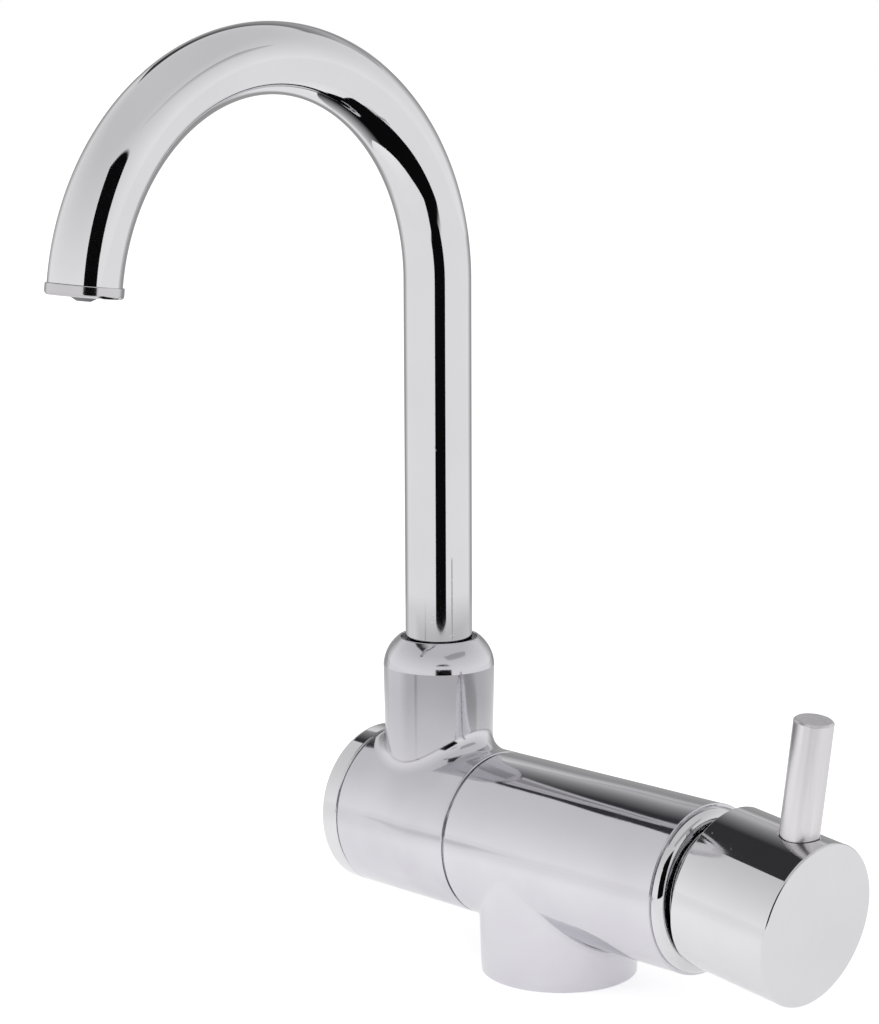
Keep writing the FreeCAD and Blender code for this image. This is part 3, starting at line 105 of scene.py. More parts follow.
SEAL_INNER = 17.65
SEAL_OUTER = 19.45
SEAL_DEPTH = 1.6
BAY_RADIUS = 17.55
BAY_FLOOR = 27.0
BAY_THREAD_RADIUS = 19.0
BAY_THREAD_FOOT = 42.0
SPINDLE_SEAT_RADIUS = 9.5
SPINDLE_SEAT_DEPTH = 10.0
SPINDLE_BORE_RADIUS = 12.08
THRUST_RADIUS = 17.55
THRUST_DEPTH = 0.78
NUT_POCKET_RADIUS = 17.5
NUT_POCKET_DEPTH = 8.5
BODY_HALF_ANGLE = math.radians(105)
ELBOW_HALF_ANGLE = math.radians(100)
TOWER_RADIUS = 15.0
TOWER_FOOT_RADIUS = 14.2
TOWER_BLEND = 5.0
DOME_HEIGHT = 7.6
DOME_RADIUS = 10.5
MOUTH_RADIUS = 10.3
MOUTH_LIP = 0.6
MOUTH_ROUND = 0.15
TOWER_BORE_DEPTH = 33.0
CAP_EDGE_ROUND = 1.6
CAP_SEAM_ROUND = 0.6
SPIGOT_PLAY = 0.05
SPIGOT_WALL = 1.2
SPIGOT_LENGTH = 4.0
ARCH_RADIUS = 59.2
ARCH_SWEEP = 172.8
ARCH_CENTRE = 147.0
TUBE_FOOT = 37.6
TUBE_WALL = 1.0
BAND_RADIUS = 9.45
BAND_HEIGHT = 2.8
BAND_ROUND = 0.9
AERATOR_SLEEVE = 5.0
AERATOR_SLEEVE_RADIUS = 7.5
AERATOR_BORE_RADIUS = 6.9
AERATOR_LIP = 0.8
AERATOR_LIP_ROUND = 0.3
AERATOR_START = 1.0
BEZEL_RADIUS = 21.3
BEZEL_NECK_RADIUS = 16.9
BEZEL_DOME = 3.0
BEZEL_DOME_RADIUS = 3.4
BEZEL_BORE_RADIUS = 15.05
BEZEL_MOUTH_RADIUS = 13.15
BEZEL_NUT_PLAY = 0.4
BEZEL_NECK_TAPER = 0.4
BEZEL_NECK_ROUND = 0.3
BEZEL_START = 1.0
KNOB_PIVOT_X = 72.0
KNOB_TILT = 7.4
KNOB_RIM = -16.0
KNOB_FACE = 13.0
KNOB_RADIUS = 21.1
KNOB_SKIRT_RADIUS = 19.7
KNOB_SKIRT_DEPTH = 11.0
KNOB_CAVITY_RADIUS = 15.0
KNOB_CAVITY_DEPTH = 21.5
KNOB_EDGE_ROUND = 0.8
KNOB_RIM_ROUND = 0.3
KNOB_INNER_ROUND = 0.4
PIN_STATION = 4.2
PIN_RADIUS = 5.0
PIN_HEIGHT = 29.6
PIN_CHAMFER = 0.5
PIN_TOP_ROUND = 0.12
PIN_FOOT_ROUND = 0.2
PIN_RECESS_RADIUS = 5.35
PIN_RECESS_DEPTH = 1.2
GRUB_STATION = 8.8
GRUB_RADIUS = 2.5
RETAINING_HEIGHT = 33.2
SCREW_HOLE_INSET = 1.0

# Fineness of the turned and swept surfaces
TURN_STEPS = 192
ROUND_STEP = math.radians(12)
BLEND_STEPS = 12
CONE_STEPS = 6
RUN_STEPS = 14
WINDOW_SIDE_STEPS = 96
WINDOW_END_STEPS = 48
HOLE_STEPS = 64
CONTACT_ROUNDS = 20
NARROW = 0.08
SMALLEST_BALL = 0.06
SOFT_MINIMUM = 4.0
SAME_POINT = 1e-4
PATH_POINTS = 260
SECTION_POINTS = 96
SHARP_ANGLE = math.radians(35)

to_barrel = Matrix.Translation((0, 0, AXIS_HEIGHT))
to_tower = Matrix.Translation((TOWER_X, 0, AXIS_HEIGHT))
to_pivot = Matrix.Translation((KNOB_PIVOT_X, 0, AXIS_HEIGHT))
to_knob = to_pivot @ Matrix.Rotation(math.radians(KNOB_TILT), 4, "Y")
sweep = math.radians(ARCH_SWEEP)
outlet = Vector((
    TOWER_X,
    -ARCH_RADIUS * (1 - math.cos(sweep)),
    AXIS_HEIGHT + ARCH_CENTRE + ARCH_RADIUS * math.sin(sweep),
))
to_outlet = Matrix.Translation(outlet) @ Matrix.Rotation(sweep - math.pi, 4, "X")


class Skin:
    """A closed surface collected from grids of points with their exact outward directions."""

    def __init__(self):
        self.index = {}
        self.points = []
        self.outward = []
        self.faces = []

    def add(self, point, direction):
        key = tuple(round(value / SAME_POINT) for value in point)
        if key not in self.index:
            self.index[key] = len(self.points)
            self.points.append(Vector(point))
            self.outward.append(Vector(direction))
        return self.index[key]

    def grid(self, rows, closed=False):
        """Faces between rows of equal length; closed joins each row's end to its start."""
        numbered = [[self.add(*entry) for entry in row] for row in rows]
        for upper, lower in zip(numbered, numbered[1:]):
            count = len(upper)
            for column in range(count if closed else count - 1):
                following = (column + 1) % count
                corners = [upper[column], upper[following], lower[following], lower[column]]
                unique = list(dict.fromkeys(corners))
                if len(unique) > 2:
                    self.faces.append(self.facing_out(unique))

    def facing_out(self, corners):
        a, b, c = (self.points[corner] for corner in corners[:3])
        normal = (b - a).cross(c - a)
        outward = sum((self.outward[corner] for corner in corners), Vector())
        return corners if normal.dot(outward) >= 0 else corners[::-1]

    def make(self, name, place):
        mesh = bpy.data.meshes.new(name)
        turn = place.to_3x3()
        mesh.from_pydata([(place @ point) * MM for point in self.points], [], self.faces)
        mesh.polygons.foreach_set("use_smooth", [True] * len(mesh.polygons))
        directions = [(turn @ direction).normalized() for direction in self.outward]
        mesh.normals_split_custom_set_from_vertices(directions)
        piece = bpy.data.objects.new(name, mesh)
        bpy.context.scene.collection.objects.link(piece)
        return piece


def turned_right(direction):
    """The outward side of an outline that runs anticlockwise: station across, radius up."""
    return Vector((direction.y, -direction.x))


def rounded(outline):
    """Points and outward directions of an outline of (station, radius, corner round) entries.

    An entry without a round is a smooth point of a curve."""
    places = [Vector(entry[:2]) for entry in outline]
    result = []
    last = len(outline) - 1
    for number, entry in enumerate(outline):
        here = places[number]
        before = (here - places[number - 1]).normalized() if number > 0 else None
        after = (places[number + 1] - here).normalized() if number < last else None
        if before is None or after is None:
            result.append((here, turned_right(after or before)))
            continue
        first, second = turned_right(before), turned_right(after)
        turn = before.angle_signed(after) * -1
        if len(entry) == 2:
            result.append((here, (first + second).normalized()))
            continue
        radius = entry[2]
        setback = radius * math.tan(abs(turn) / 2)
        side = 1 if turn > 0 else -1
        centre = here - before * setback - first * radius * side
        steps = max(2, math.ceil(abs(turn) / ROUND_STEP))
        for step in range(steps + 1):
            angle = turn * step / steps
            direction = Vector((
                first.x * math.cos(angle) - first.y * math.sin(angle),
                first.x * math.sin(angle) + first.y * math.cos(angle),
            ))
            result.append((centre + direction * radius * side, direction))
    return result


def bulge(start, end, radius):
    """Smooth points of an arc from start to end that bows away from the metal."""
    start, end = Vector(start), Vector(end)
    chord = end - start
    left = Vector((-chord.y, chord.x)).normalized()
    centre = (start + end) / 2 + left * math.sqrt(radius ** 2 - chord.length_squared / 4)
    first = math.atan2(start.y - centre.y, start.x - centre.x)
    whole = (end - centre).angle_signed(start - centre)
    steps = math.ceil(abs(whole) / ROUND_STEP * 2)
    points = []
    for step in range(1, steps):
        angle = first + whole * step / steps
        points.append((centre.x + radius * math.cos(angle), centre.y + radius * math.sin(angle)))
    return points


def turned_rows(outline, axis, angles):
    rows = []
    for place, direction in rounded(outline):
        row = []
        for angle in angles:
            across, along = math.sin(angle), math.cos(angle)
            if axis == "X":
                row.append((
                    (place.x, place.y * across, place.y * along),
                    (direction.x, direction.y * across, direction.y * along),
                ))
            else:
                row.append((
                    (place.y * along, place.y * across, place.x),
                    (direction.y * along, direction.y * across, direction.x),
                ))
        rows.append(row)
    return rows


def turned(name, outline, axis, place, steps=TURN_STEPS):
    """A turned piece. The outline runs (station, radius, round) with the metal on its left."""
    angles = [2 * math.pi * step / steps for step in range(steps)]
    skin = Skin()
    skin.grid(turned_rows(outline, axis, angles), closed=True)
    return skin.make(name, place)


def window(left, right, half, sides, columns):
    """Points round a rectangle of (along, across), anticlockwise from its lower right corner."""
    points = [(right, -half + 2 * half * step / sides) for step in range(sides)]
    points += [(right + (left - right) * step / columns, half) for step in range(columns)]
    points += [(left, half - 2 * half * step / sides) for step in range(sides)]
    points += [(left + (right - left) * step / columns, -half) for step in range(columns)]
    return points


def rolling_ball(fillet, room):
    """Radius of the ball that rolls the fillet: the smaller of fillet and room, with a soft change-over."""
    both = math.exp(-SOFT_MINIMUM * fillet) + math.exp(-SOFT_MINIMUM * min(room, 50))
    return max(-math.log(both) / SOFT_MINIMUM, SMALLEST_BALL)


def branched(name, place, run, branch, tail, ends):
    """A round run along X with a tapered branch along Z, joined by a rolling fillet.

    run: radius, left, right, round of the end edges, half angle of the part round the branch.
    branch: radius at the axis, growth per height, fillet, height where the tail begins.
    tail: outline (height, radius) from the pole to the branch.
    ends: outlines (station, radius) of the right end, up to the run, and of the left end, from it."""
    radius, left, right, edge, half_angle = run
    foot, growth, fillet, top = branch
    slope = math.hypot(1, growth)
    half = radius * half_angle
    frame_points = window(left + edge, right - edge, half, WINDOW_SIDE_STEPS, WINDOW_END_STEPS)
    thetas = [math.atan2(across, along) for along, across in frame_points]
    blend_rows = [[] for _ in range(BLEND_STEPS + 1)]
    cone_rows = [[] for _ in range(CONE_STEPS + 1)]
    run_rows = [[] for _ in range(RUN_STEPS + 1)]
    for theta, (along, across) in zip(thetas, frame_points):
        end = right - edge if math.cos(theta) > 0 else -(left + edge)
        height = radius
        for _ in range(CONTACT_ROUNDS):
            here = foot + growth * height
            room = (end - NARROW) / max(abs(math.cos(theta)), 1e-6) - here
            ball = rolling_ball(fillet, room)
            reach = here + ball / slope
            level = math.sqrt((radius + ball) ** 2 - (reach * math.sin(theta)) ** 2)
            height = level + ball * growth / slope
        centre = Vector((reach * math.cos(theta), reach * math.sin(theta), level))
        from_branch = Vector((math.cos(theta) / slope, math.sin(theta) / slope, -growth / slope))
        from_run = Vector((0, centre.y, centre.z)).normalized()
        for step, row in enumerate(blend_rows):
            direction = from_branch.slerp(from_run, step / BLEND_STEPS)
            row.append((centre - direction * ball, direction))
        for step, row in enumerate(cone_rows):
            level = top + (height - top) * step / CONE_STEPS
            here = foot + growth * level
            row.append(((here * math.cos(theta), here * math.sin(theta), level), from_branch))
        contact = centre - from_run * ball
        start_across = radius * math.atan2(contact.y, contact.z)
        for step, row in enumerate(run_rows):
            share = step / RUN_STEPS
            angle = (start_across + (across - start_across) * share) / radius
            outward = (0, math.sin(angle), math.cos(angle))
            station = contact.x + (along - contact.x) * share
            row.append(((station, radius * outward[1], radius * outward[2]), outward))
    skin = Skin()
    skin.grid(turned_rows(tail, "Z", thetas)[:-1] + cone_rows, closed=True)
    skin.grid(blend_rows, closed=True)
    skin.grid(run_rows, closed=True)
    corner = WINDOW_SIDE_STEPS + WINDOW_END_STEPS
    near = [across / radius for along, across in frame_points[:WINDOW_SIDE_STEPS + 1]]
    far_steps = round(WINDOW_SIDE_STEPS * (math.pi - half_angle) / half_angle)
    far = [half_angle + (2 * math.pi - 2 * half_angle) * step / far_steps for step in range(far_steps + 1)]
    stations = [along for along, across in frame_points[WINDOW_SIDE_STEPS:corner + 1]]
    back_rows = []
    for angle in far:
        outward = (0, math.sin(angle), math.cos(angle))
        back_rows.append([((along, radius * outward[1], radius * outward[2]), outward) for along in stations])
    skin.grid(back_rows)
    right_end, left_end = ends
    skin.grid(turned_rows(right_end, "X", near + far[1:-1])[:-1], closed=True)
    skin.grid(turned_rows(left_end, "X", near + far[1:-1])[1:], closed=True)
    return skin.make(name, place)


def smooth_surface(mesh):
    """A function that gives the outward direction of a mesh's surface at a point near it."""
    corners = [corner.vector.copy() for corner in mesh.corner_normals]
    mesh.calc_loop_triangles()
    triangles = [tuple(triangle.vertices) for triangle in mesh.loop_triangles]
    loops = [tuple(triangle.loops) for triangle in mesh.loop_triangles]
    places = [vertex.co.copy() for vertex in mesh.vertices]
    tree = BVHTree.FromPolygons(places, triangles)

    def look(point):
        found, _, number, distance = tree.find_nearest(point)
        a, b, c = (places[vertex] for vertex in triangles[number])
        weights = poly_3d_calc([a, b, c], found)
        total = Vector()
        for weight, loop in zip(weights, loops[number]):
            total += corners[loop] * weight
        return total.normalized(), distance

    return look


def drilled(piece, *cutters):
    """Cuts holes, and gives what is left of each surface its exact outward directions again."""
    surfaces = [(smooth_surface(piece.data), 1)]
    for cutter in cutters:
        surfaces.append((smooth_surface(cutter.data), -1))
        cut = piece.modifiers.new("cut", "BOOLEAN")
        cut.operation = "DIFFERENCE"
        cut.solver = "EXACT"
        cut.object = cutter
    mesh = bpy.data.meshes.new_from_object(piece.evaluated_get(bpy.context.evaluated_depsgraph_get()))
    piece.modifiers.clear()
    piece.data = mesh
    for cutter in cutters:
        bpy.data.objects.remove(cutter)
    directions = [None] * len(mesh.loops)
    for polygon in mesh.polygons:
        middle = polygon.center
        look, sign = min(surfaces, key=lambda surface: surface[0](middle)[1])
        for loop in polygon.loop_indices:
            directions[loop] = look(mesh.vertices[mesh.loops[loop].vertex_index].co)[0] * sign
    mesh.polygons.foreach_set("use_smooth", [True] * len(mesh.polygons))
    mesh.normals_split_custom_set(directions)
    return piece


def solid_bar(radius, low, high):
    """Outline of a plain bar, for cutters."""
    return [(high, 0), (high, radius, CUTTER_ROUND), (low, radius, CUTTER_ROUND), (low, 0)]


def threaded_bar(radius, low, high, pitch):
    """Outline of a bar with ridges round it, for cutters of threaded holes."""
    root = radius - THREAD_DEPTH
    flank = pitch * THREAD_FLANK
    outline = [(high, 0), (high, root, THREAD_ROUND)]
    for turn in range(int((high - low) / pitch)):
        crest = high - pitch * (turn + 0.5)
        for station, level in ((crest + flank, root), (crest, radius), (crest - flank, root)):
            outline.append((station, level, THREAD_ROUND))
    return outline + [(low, root, THREAD_ROUND), (low, 0)]


def dress(piece, material, body, slot, *nodes):
    """Gives a finished piece its material and its body, and hides the nodes that it stands for. The slot is
    not used.
    """
    piece.data.materials.clear()
    piece.data.materials.append(material)
    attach(piece, body)
    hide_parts(*nodes)
    return piece


# Materials. Each is drawn from noise in the object's own space. Cells are counted per metre, relief is in
# metres.

TONE_CELLS = 45
SMEAR_CELLS = 60
SPECK_CELLS = 1400
HAIRLINE_CELLS = 900
WAVE_CELLS = 38
STREAK_CELLS = 700
BROAD_STREAK_CELLS = 160
MOULDED_TONE_CELLS = 120
HANDLED_CELLS = 260
SPECK_ROUGHNESS = 0.05
HAIRLINE_SHARE = 0.012
STREAK_ROUGHNESS = 0.1
HANDLED_ROUGHNESS = 0.15
POLISH_RELIEF = 0.0004
STREAK_RELIEF = 0.00002


def new_material(name):
    material = bpy.data.materials.new(name)
    material.use_nodes = True
    tree = material.node_tree
    shader = tree.nodes["Principled BSDF"]
    place = tree.nodes.new("ShaderNodeTexCoord").outputs["Object"]
    return material, tree, shader, place


def noise(tree, place, scale, detail=3.0, stretch=(1, 1, 1), tilt=0.0):
    """Noise of so many cells per metre, drawn out along the axes where stretch is small."""
    mapping = tree.nodes.new("ShaderNodeMapping")
    mapping.vector_type = "TEXTURE"
    mapping.inputs["Rotation"].default_value = (0, tilt, 0)
    mapping.inputs["Scale"].default_value = tuple(1 / value for value in stretch)
    tree.links.new(place, mapping.inputs["Vector"])
    texture = tree.nodes.new("ShaderNodeTexNoise")
    texture.inputs["Scale"].default_value = scale
    texture.inputs["Detail"].default_value = detail
    tree.links.new(mapping.outputs["Vector"], texture.inputs["Vector"])
    return texture.outputs["Fac"]


def spread(tree, source, start, end, low, high):
    """Reads source from start to end as a number from low to high."""
    node = tree.nodes.new("ShaderNodeMapRange")
    for socket, value in zip(("From Min", "From Max", "To Min", "To Max"), (start, end, low, high)):
        node.inputs[socket].default_value = value
    tree.links.new(source, node.inputs["Value"])
    return node.outputs["Result"]


def tinted(tree, source, first, second):
    """A colour between two, as source goes from 0 to 1."""
    node = tree.nodes.new("ShaderNodeMix")
    node.data_type = "RGBA"
    tree.links.new(source, node.inputs["Factor"])
    node.inputs[6].default_value = (*first, 1)
    node.inputs[7].default_value = (*second, 1)
    return node.outputs[2]


def figure(tree, operation, first, second):
    """A sum or the like of two numbers, each given or read from a socket."""
    node = tree.nodes.new("ShaderNodeMath")
    node.operation = operation
    for socket, value in zip(node.inputs, (first, second)):
        if isinstance(value, bpy.types.NodeSocket):
            tree.links.new(value, socket)
        else:
            socket.default_value = value
    return node.outputs[0]


def raised(tree, shader, source, height):
    """Bump of that height in metres."""
    node = tree.nodes.new("ShaderNodeBump")
    node.inputs["Distance"].default_value = height
    tree.links.new(source, node.inputs["Height"])
    tree.links.new(node.outputs["Normal"], shader.inputs["Normal"])


def polished(name, pale, dark, rough, smear, wave, run=(1.0, 1.0, 1.0)):
    """Plated metal: soft waves of hand polishing along run, wiped smears, and hairline scratches."""
    material, tree, shader, place = new_material(name)
    shader.inputs["Metallic"].default_value = 1.0
    cloud = noise(tree, place, TONE_CELLS, 2.0)
    tone = tinted(tree, spread(tree, cloud, 0.35, 0.65, 0, 1), pale, dark)
    tree.links.new(tone, shader.inputs["Base Color"])
    smears = noise(tree, place, SMEAR_CELLS, 5.0, (1.0, 0.35, 0.6))
    specks = noise(tree, place, SPECK_CELLS, 2.0)
    rough_here = spread(tree, smears, 0.5, 0.75, rough, rough + smear)
    rough_specks = spread(tree, specks, 0.62, 0.8, 0, SPECK_ROUGHNESS)
    tree.links.new(figure(tree, "ADD", rough_here, rough_specks), shader.inputs["Roughness"])
    hairlines = noise(tree, place, HAIRLINE_CELLS, 1.0, (1.0, 0.06, 1.0))
    waves = noise(tree, place, WAVE_CELLS, 0.0, run)
    scratches = spread(tree, hairlines, 0.72, 0.8, 0, HAIRLINE_SHARE)
    raised(tree, shader, figure(tree, "ADD", spread(tree, waves, 0, 1, 0, wave), scratches), POLISH_RELIEF)
    return material


def brushed(name, pale, dark, rough, stretch, tilt):
    """Metal with fine streaks along one direction."""
    material, tree, shader, place = new_material(name)
    shader.inputs["Metallic"].default_value = 1.0
    streaks = noise(tree, place, STREAK_CELLS, 4.0, stretch, tilt)
    broad = noise(tree, place, BROAD_STREAK_CELLS, 2.0, stretch, tilt)
    both = figure(tree, "ADD", spread(tree, streaks, 0.3, 0.7, 0, 0.6), spread(tree, broad, 0.3, 0.7, 0, 0.4))
    tree.links.new(tinted(tree, both, pale, dark), shader.inputs["Base Color"])
    tree.links.new(spread(tree, both, 0, 1, rough, rough + STREAK_ROUGHNESS), shader.inputs["Roughness"])
    raised(tree, shader, streaks, STREAK_RELIEF)
    return material


def moulded(name, pale, dark, rough, grain, height):
    """Plastic, rubber or ceramic: a fine grain, slow shifts of shade and handled patches."""
    material, tree, shader, place = new_material(name)
    cloud = noise(tree, place, MOULDED_TONE_CELLS, 4.0)
    tree.links.new(tinted(tree, spread(tree, cloud, 0.3, 0.7, 0, 1), pale, dark), shader.inputs["Base Color"])
    patches = noise(tree, place, HANDLED_CELLS, 3.0)
    rough_here = spread(tree, patches, 0.3, 0.7, rough, rough + HANDLED_ROUGHNESS)
    tree.links.new(rough_here, shader.inputs["Roughness"])
    raised(tree, shader, noise(tree, place, grain, 3.0), height)
    return material


chrome = polished("polished_chrome", (0.70, 0.695, 0.715), (0.68, 0.672, 0.69), 0.035, 0.035, 0.05)
barrel_chrome = polished("barrel_chrome", (0.665, 0.658, 0.69), (0.64, 0.63, 0.665), 0.06, 0.05, 0.9)
elbow_chrome = polished(
    "elbow_chrome", (0.655, 0.648, 0.68), (0.60, 0.59, 0.625), 0.09, 0.06, 2.6, (1.6, 1.6, 0.4),
)
band_chrome = polished("aerator_chrome", (0.60, 0.59, 0.60), (0.54, 0.53, 0.54), 0.12, 0.08, 0.04)
satin = brushed(
    "satin_steel", (0.81, 0.79, 0.805), (0.65, 0.63, 0.65), 0.28, (1, 1, 0.03), math.radians(KNOB_TILT),
)
brass = brushed("machined_brass", (0.72, 0.50, 0.20), (0.58, 0.38, 0.14), 0.25, (1, 0.05, 0.05), 0.0)
steel = brushed("plain_steel", (0.56, 0.56, 0.57), (0.42, 0.42, 0.43), 0.3, (0.2, 1, 1), 0.0)
rubber = moulded("black_rubber", (0.025, 0.025, 0.026), (0.015, 0.015, 0.015), 0.55, 3000, 0.00004)
white_plastic = moulded("white_plastic", (0.72, 0.71, 0.68), (0.62, 0.61, 0.58), 0.35, 2200, 0.00002)
grey_plastic = moulded("grey_plastic", (0.20, 0.20, 0.21), (0.14, 0.14, 0.15), 0.4, 2200, 0.00003)
cartridge_plastic = moulded("cartridge_plastic", (0.10, 0.11, 0.13), (0.07, 0.075, 0.09), 0.4, 2200, 0.00002)
ceramic = moulded("ceramic", (0.80, 0.79, 0.76), (0.74, 0.73, 0.70), 0.15, 5000, 0.000004)

NODE_MATERIALS = {
    brass: ("pivot_spindle", "spindle_nut", "spout_ferrule", "cartridge_lock_nut"),
    steel: (
        "disc_spring", "lever_pivot_pin", "handle_pin_stud", "knob_grub_screw", "spout_retaining_screw",
        "aerator_strainer", "cartridge_lever",
    ),
    rubber: (
        "deck_seal", "spindle_sealing_rings", "spout_sealing_rings", "cartridge_port_seals", "aerator_washer",
    ),
    white_plastic: ("thrust_washer", "friction_washer", "spout_guide_ring", "disc_carrier"),
    grey_plastic: ("aerator_insert",),
    cartridge_plastic: ("cartridge_base", "cartridge_housing", "cartridge_rotor"),
    ceramic: ("fixed_ceramic_disc", "moving_ceramic_disc"),
    barrel_chrome: ("body_casting",),
    elbow_chrome: ("elbow_block",),
    chrome: ("end_cap", "spout_tube", "bezel_ring", "handle_knob"),
    band_chrome: ("aerator_housing",),
    satin: ("handle_pin",),
}
for material, names in NODE_MATERIALS.items():
    for name in names:
        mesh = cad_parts[name].data
        mesh.materials.clear()
        mesh.materials.append(material)


# Body casting: barrel along X, stem down to the worktop

foot_level = AXIS_HEIGHT
stem_axis_radius = STEM_FOOT_RADIUS + foot_level * STEM_DRAFT
stem_top = foot_level - TAIL_STEP
ceiling = foot_level - RECESS_DEPTH
stem_tail = [
    (ceiling, 0), (ceiling, RECESS_RADIUS, BORE_ROUND), (foot_level, RECESS_RADIUS, CREASE_ROUND),
    (foot_level, SEAL_INNER, FINE_ROUND), (foot_level - SEAL_DEPTH, SEAL_INNER, FINE_ROUND),
    (foot_level - SEAL_DEPTH, SEAL_OUTER, FINE_ROUND), (foot_level, SEAL_OUTER, FINE_ROUND),
    (foot_level, STEM_FOOT_RADIUS, STEM_FOOT_ROUND),
    (stem_top, stem_axis_radius - stem_top * STEM_DRAFT),
]
bay_end = [
    (BAY_FLOOR, 0), (BAY_FLOOR, BAY_RADIUS, BORE_ROUND), (BAY_THREAD_FOOT, BAY_RADIUS, FINE_ROUND),
    (BAY_THREAD_FOOT, BAY_THREAD_RADIUS, FINE_ROUND), (BARREL_RIGHT, BAY_THREAD_RADIUS, BORE_ROUND),
    (BARREL_RIGHT, RUN_RADIUS, SEAM_ROUND), (0, RUN_RADIUS),
]
thrust_floor = BARREL_LEFT + THRUST_DEPTH
seat_floor = BARREL_LEFT + SPINDLE_SEAT_DEPTH
spindle_end = [
    (0, RUN_RADIUS), (BARREL_LEFT, RUN_RADIUS, SEAM_ROUND), (BARREL_LEFT, THRUST_RADIUS, BORE_ROUND),
    (thrust_floor, THRUST_RADIUS, FINE_ROUND), (thrust_floor, SPINDLE_SEAT_RADIUS, BORE_ROUND),
    (seat_floor, SPINDLE_SEAT_RADIUS, FINE_ROUND), (seat_floor, 0),
]
casting = branched(
    "body_casting_chrome", to_barrel @ Matrix.Rotation(math.pi, 4, "X"),
    (RUN_RADIUS, BARREL_LEFT, BARREL_RIGHT, SEAM_ROUND, BODY_HALF_ANGLE),
    (stem_axis_radius, -STEM_DRAFT, STEM_BLEND, stem_top),
    stem_tail, (bay_end, spindle_end),
)
to_ceiling = Matrix.Translation((0, 0, RECESS_DEPTH))
holes = [
    ("hot_port", PORT_AHEAD, PORT_ASIDE, PORT_RADIUS, PORT_DEPTH, PORT_PITCH),
    ("cold_port", PORT_AHEAD, -PORT_ASIDE, PORT_RADIUS, PORT_DEPTH, PORT_PITCH),
    ("stud_hole", STUD_HOLE_AHEAD, 0, STUD_HOLE_RADIUS, STUD_HOLE_DEPTH, STUD_PITCH),
]
cutters = []
for name, ahead, aside, radius, depth, pitch in holes:
    outline = threaded_bar(radius, -CUTTER_OVERRUN, depth, pitch)
    place = to_ceiling @ Matrix.Translation((ahead, aside, 0))
    cutters.append(turned(name, outline, "Z", place, HOLE_STEPS))
drilled(casting, *cutters)
dress(casting, barrel_chrome, "body", "polished_chrome", "body_casting")


# Elbow block: short barrel with the tower for the spout

block_left = BLOCK_LEFT - TOWER_X
block_right = BLOCK_RIGHT - TOWER_X
dome_foot = TOWER_TOP - DOME_HEIGHT
lip_radius = MOUTH_RADIUS + MOUTH_LIP
tower_growth = (TOWER_RADIUS - TOWER_FOOT_RADIUS) / dome_foot
tower_side_top = dome_foot - TAIL_STEP
bore_floor = TOWER_TOP - TOWER_BORE_DEPTH
tower_tail = [
    (bore_floor, 0), (bore_floor, MOUTH_RADIUS, BORE_ROUND), (TOWER_TOP, MOUTH_RADIUS, MOUTH_ROUND),
    (TOWER_TOP, lip_radius, CREASE_ROUND),
    *bulge((TOWER_TOP, lip_radius), (dome_foot, TOWER_RADIUS), DOME_RADIUS),
    (dome_foot, TOWER_RADIUS, CREASE_ROUND), (tower_side_top, TOWER_RADIUS - tower_growth * TAIL_STEP),
]
pocket_floor = block_left + NUT_POCKET_DEPTH
run_left = block_left + RELIEF_WIDTH
run_right = block_right - RELIEF_WIDTH
relief_floor = RUN_RADIUS - RELIEF_DEPTH
block_right_end = [
    (0, SPINDLE_BORE_RADIUS), (block_right, SPINDLE_BORE_RADIUS, BORE_ROUND),
    (block_right, relief_floor, FINE_ROUND), (run_right, relief_floor, FINE_ROUND),
    (run_right, RUN_RADIUS, SEAM_ROUND), (0, RUN_RADIUS),
]
block_left_end = [
    (0, RUN_RADIUS), (run_left, RUN_RADIUS, SEAM_ROUND), (run_left, relief_floor, FINE_ROUND),
    (block_left, relief_floor, FINE_ROUND), (block_left, NUT_POCKET_RADIUS, BORE_ROUND),
    (pocket_floor, NUT_POCKET_RADIUS, FINE_ROUND), (pocket_floor, SPINDLE_BORE_RADIUS, BORE_ROUND),
    (0, SPINDLE_BORE_RADIUS),
]
block = branched(
    "elbow_block_chrome", to_tower,
    (RUN_RADIUS, run_left, run_right, SEAM_ROUND, ELBOW_HALF_ANGLE),
    (TOWER_FOOT_RADIUS, tower_growth, TOWER_BLEND, tower_side_top),
    tower_tail, (block_right_end, block_left_end),
)
to_retaining = to_tower @ Matrix.Translation((0, 0, RETAINING_HEIGHT)) @ Matrix.Rotation(-math.pi / 2, 4, "X")
screw_bar = solid_bar(GRUB_RADIUS, MOUTH_RADIUS - SCREW_HOLE_INSET, TOWER_RADIUS + CUTTER_OVERRUN)
screw_hole = turned("screw_hole", screw_bar, "Z", to_retaining)
drilled(block, screw_hole)
dress(block, elbow_chrome, "elbow", "polished_chrome", "elbow_block")

seam = block_left
cap_face = CAP_FACE - TOWER_X
spigot_end = seam + SPIGOT_LENGTH
spigot_outer = NUT_POCKET_RADIUS - SPIGOT_PLAY
spigot_inner = spigot_outer - SPIGOT_WALL
cap = turned("end_cap_chrome", [
    (seam, 0), (seam, spigot_inner, FINE_ROUND), (spigot_end, spigot_inner, FINE_ROUND),
    (spigot_end, spigot_outer, FINE_ROUND), (seam, spigot_outer, FINE_ROUND),
    (seam, RUN_RADIUS, CAP_SEAM_ROUND), (cap_face, RUN_RADIUS, CAP_EDGE_ROUND), (cap_face, 0),
], "X", to_tower)
dress(cap, chrome, "elbow", "polished_chrome", "end_cap")


# Spout tube: a straight leg and an arch, swept by Geometry Nodes

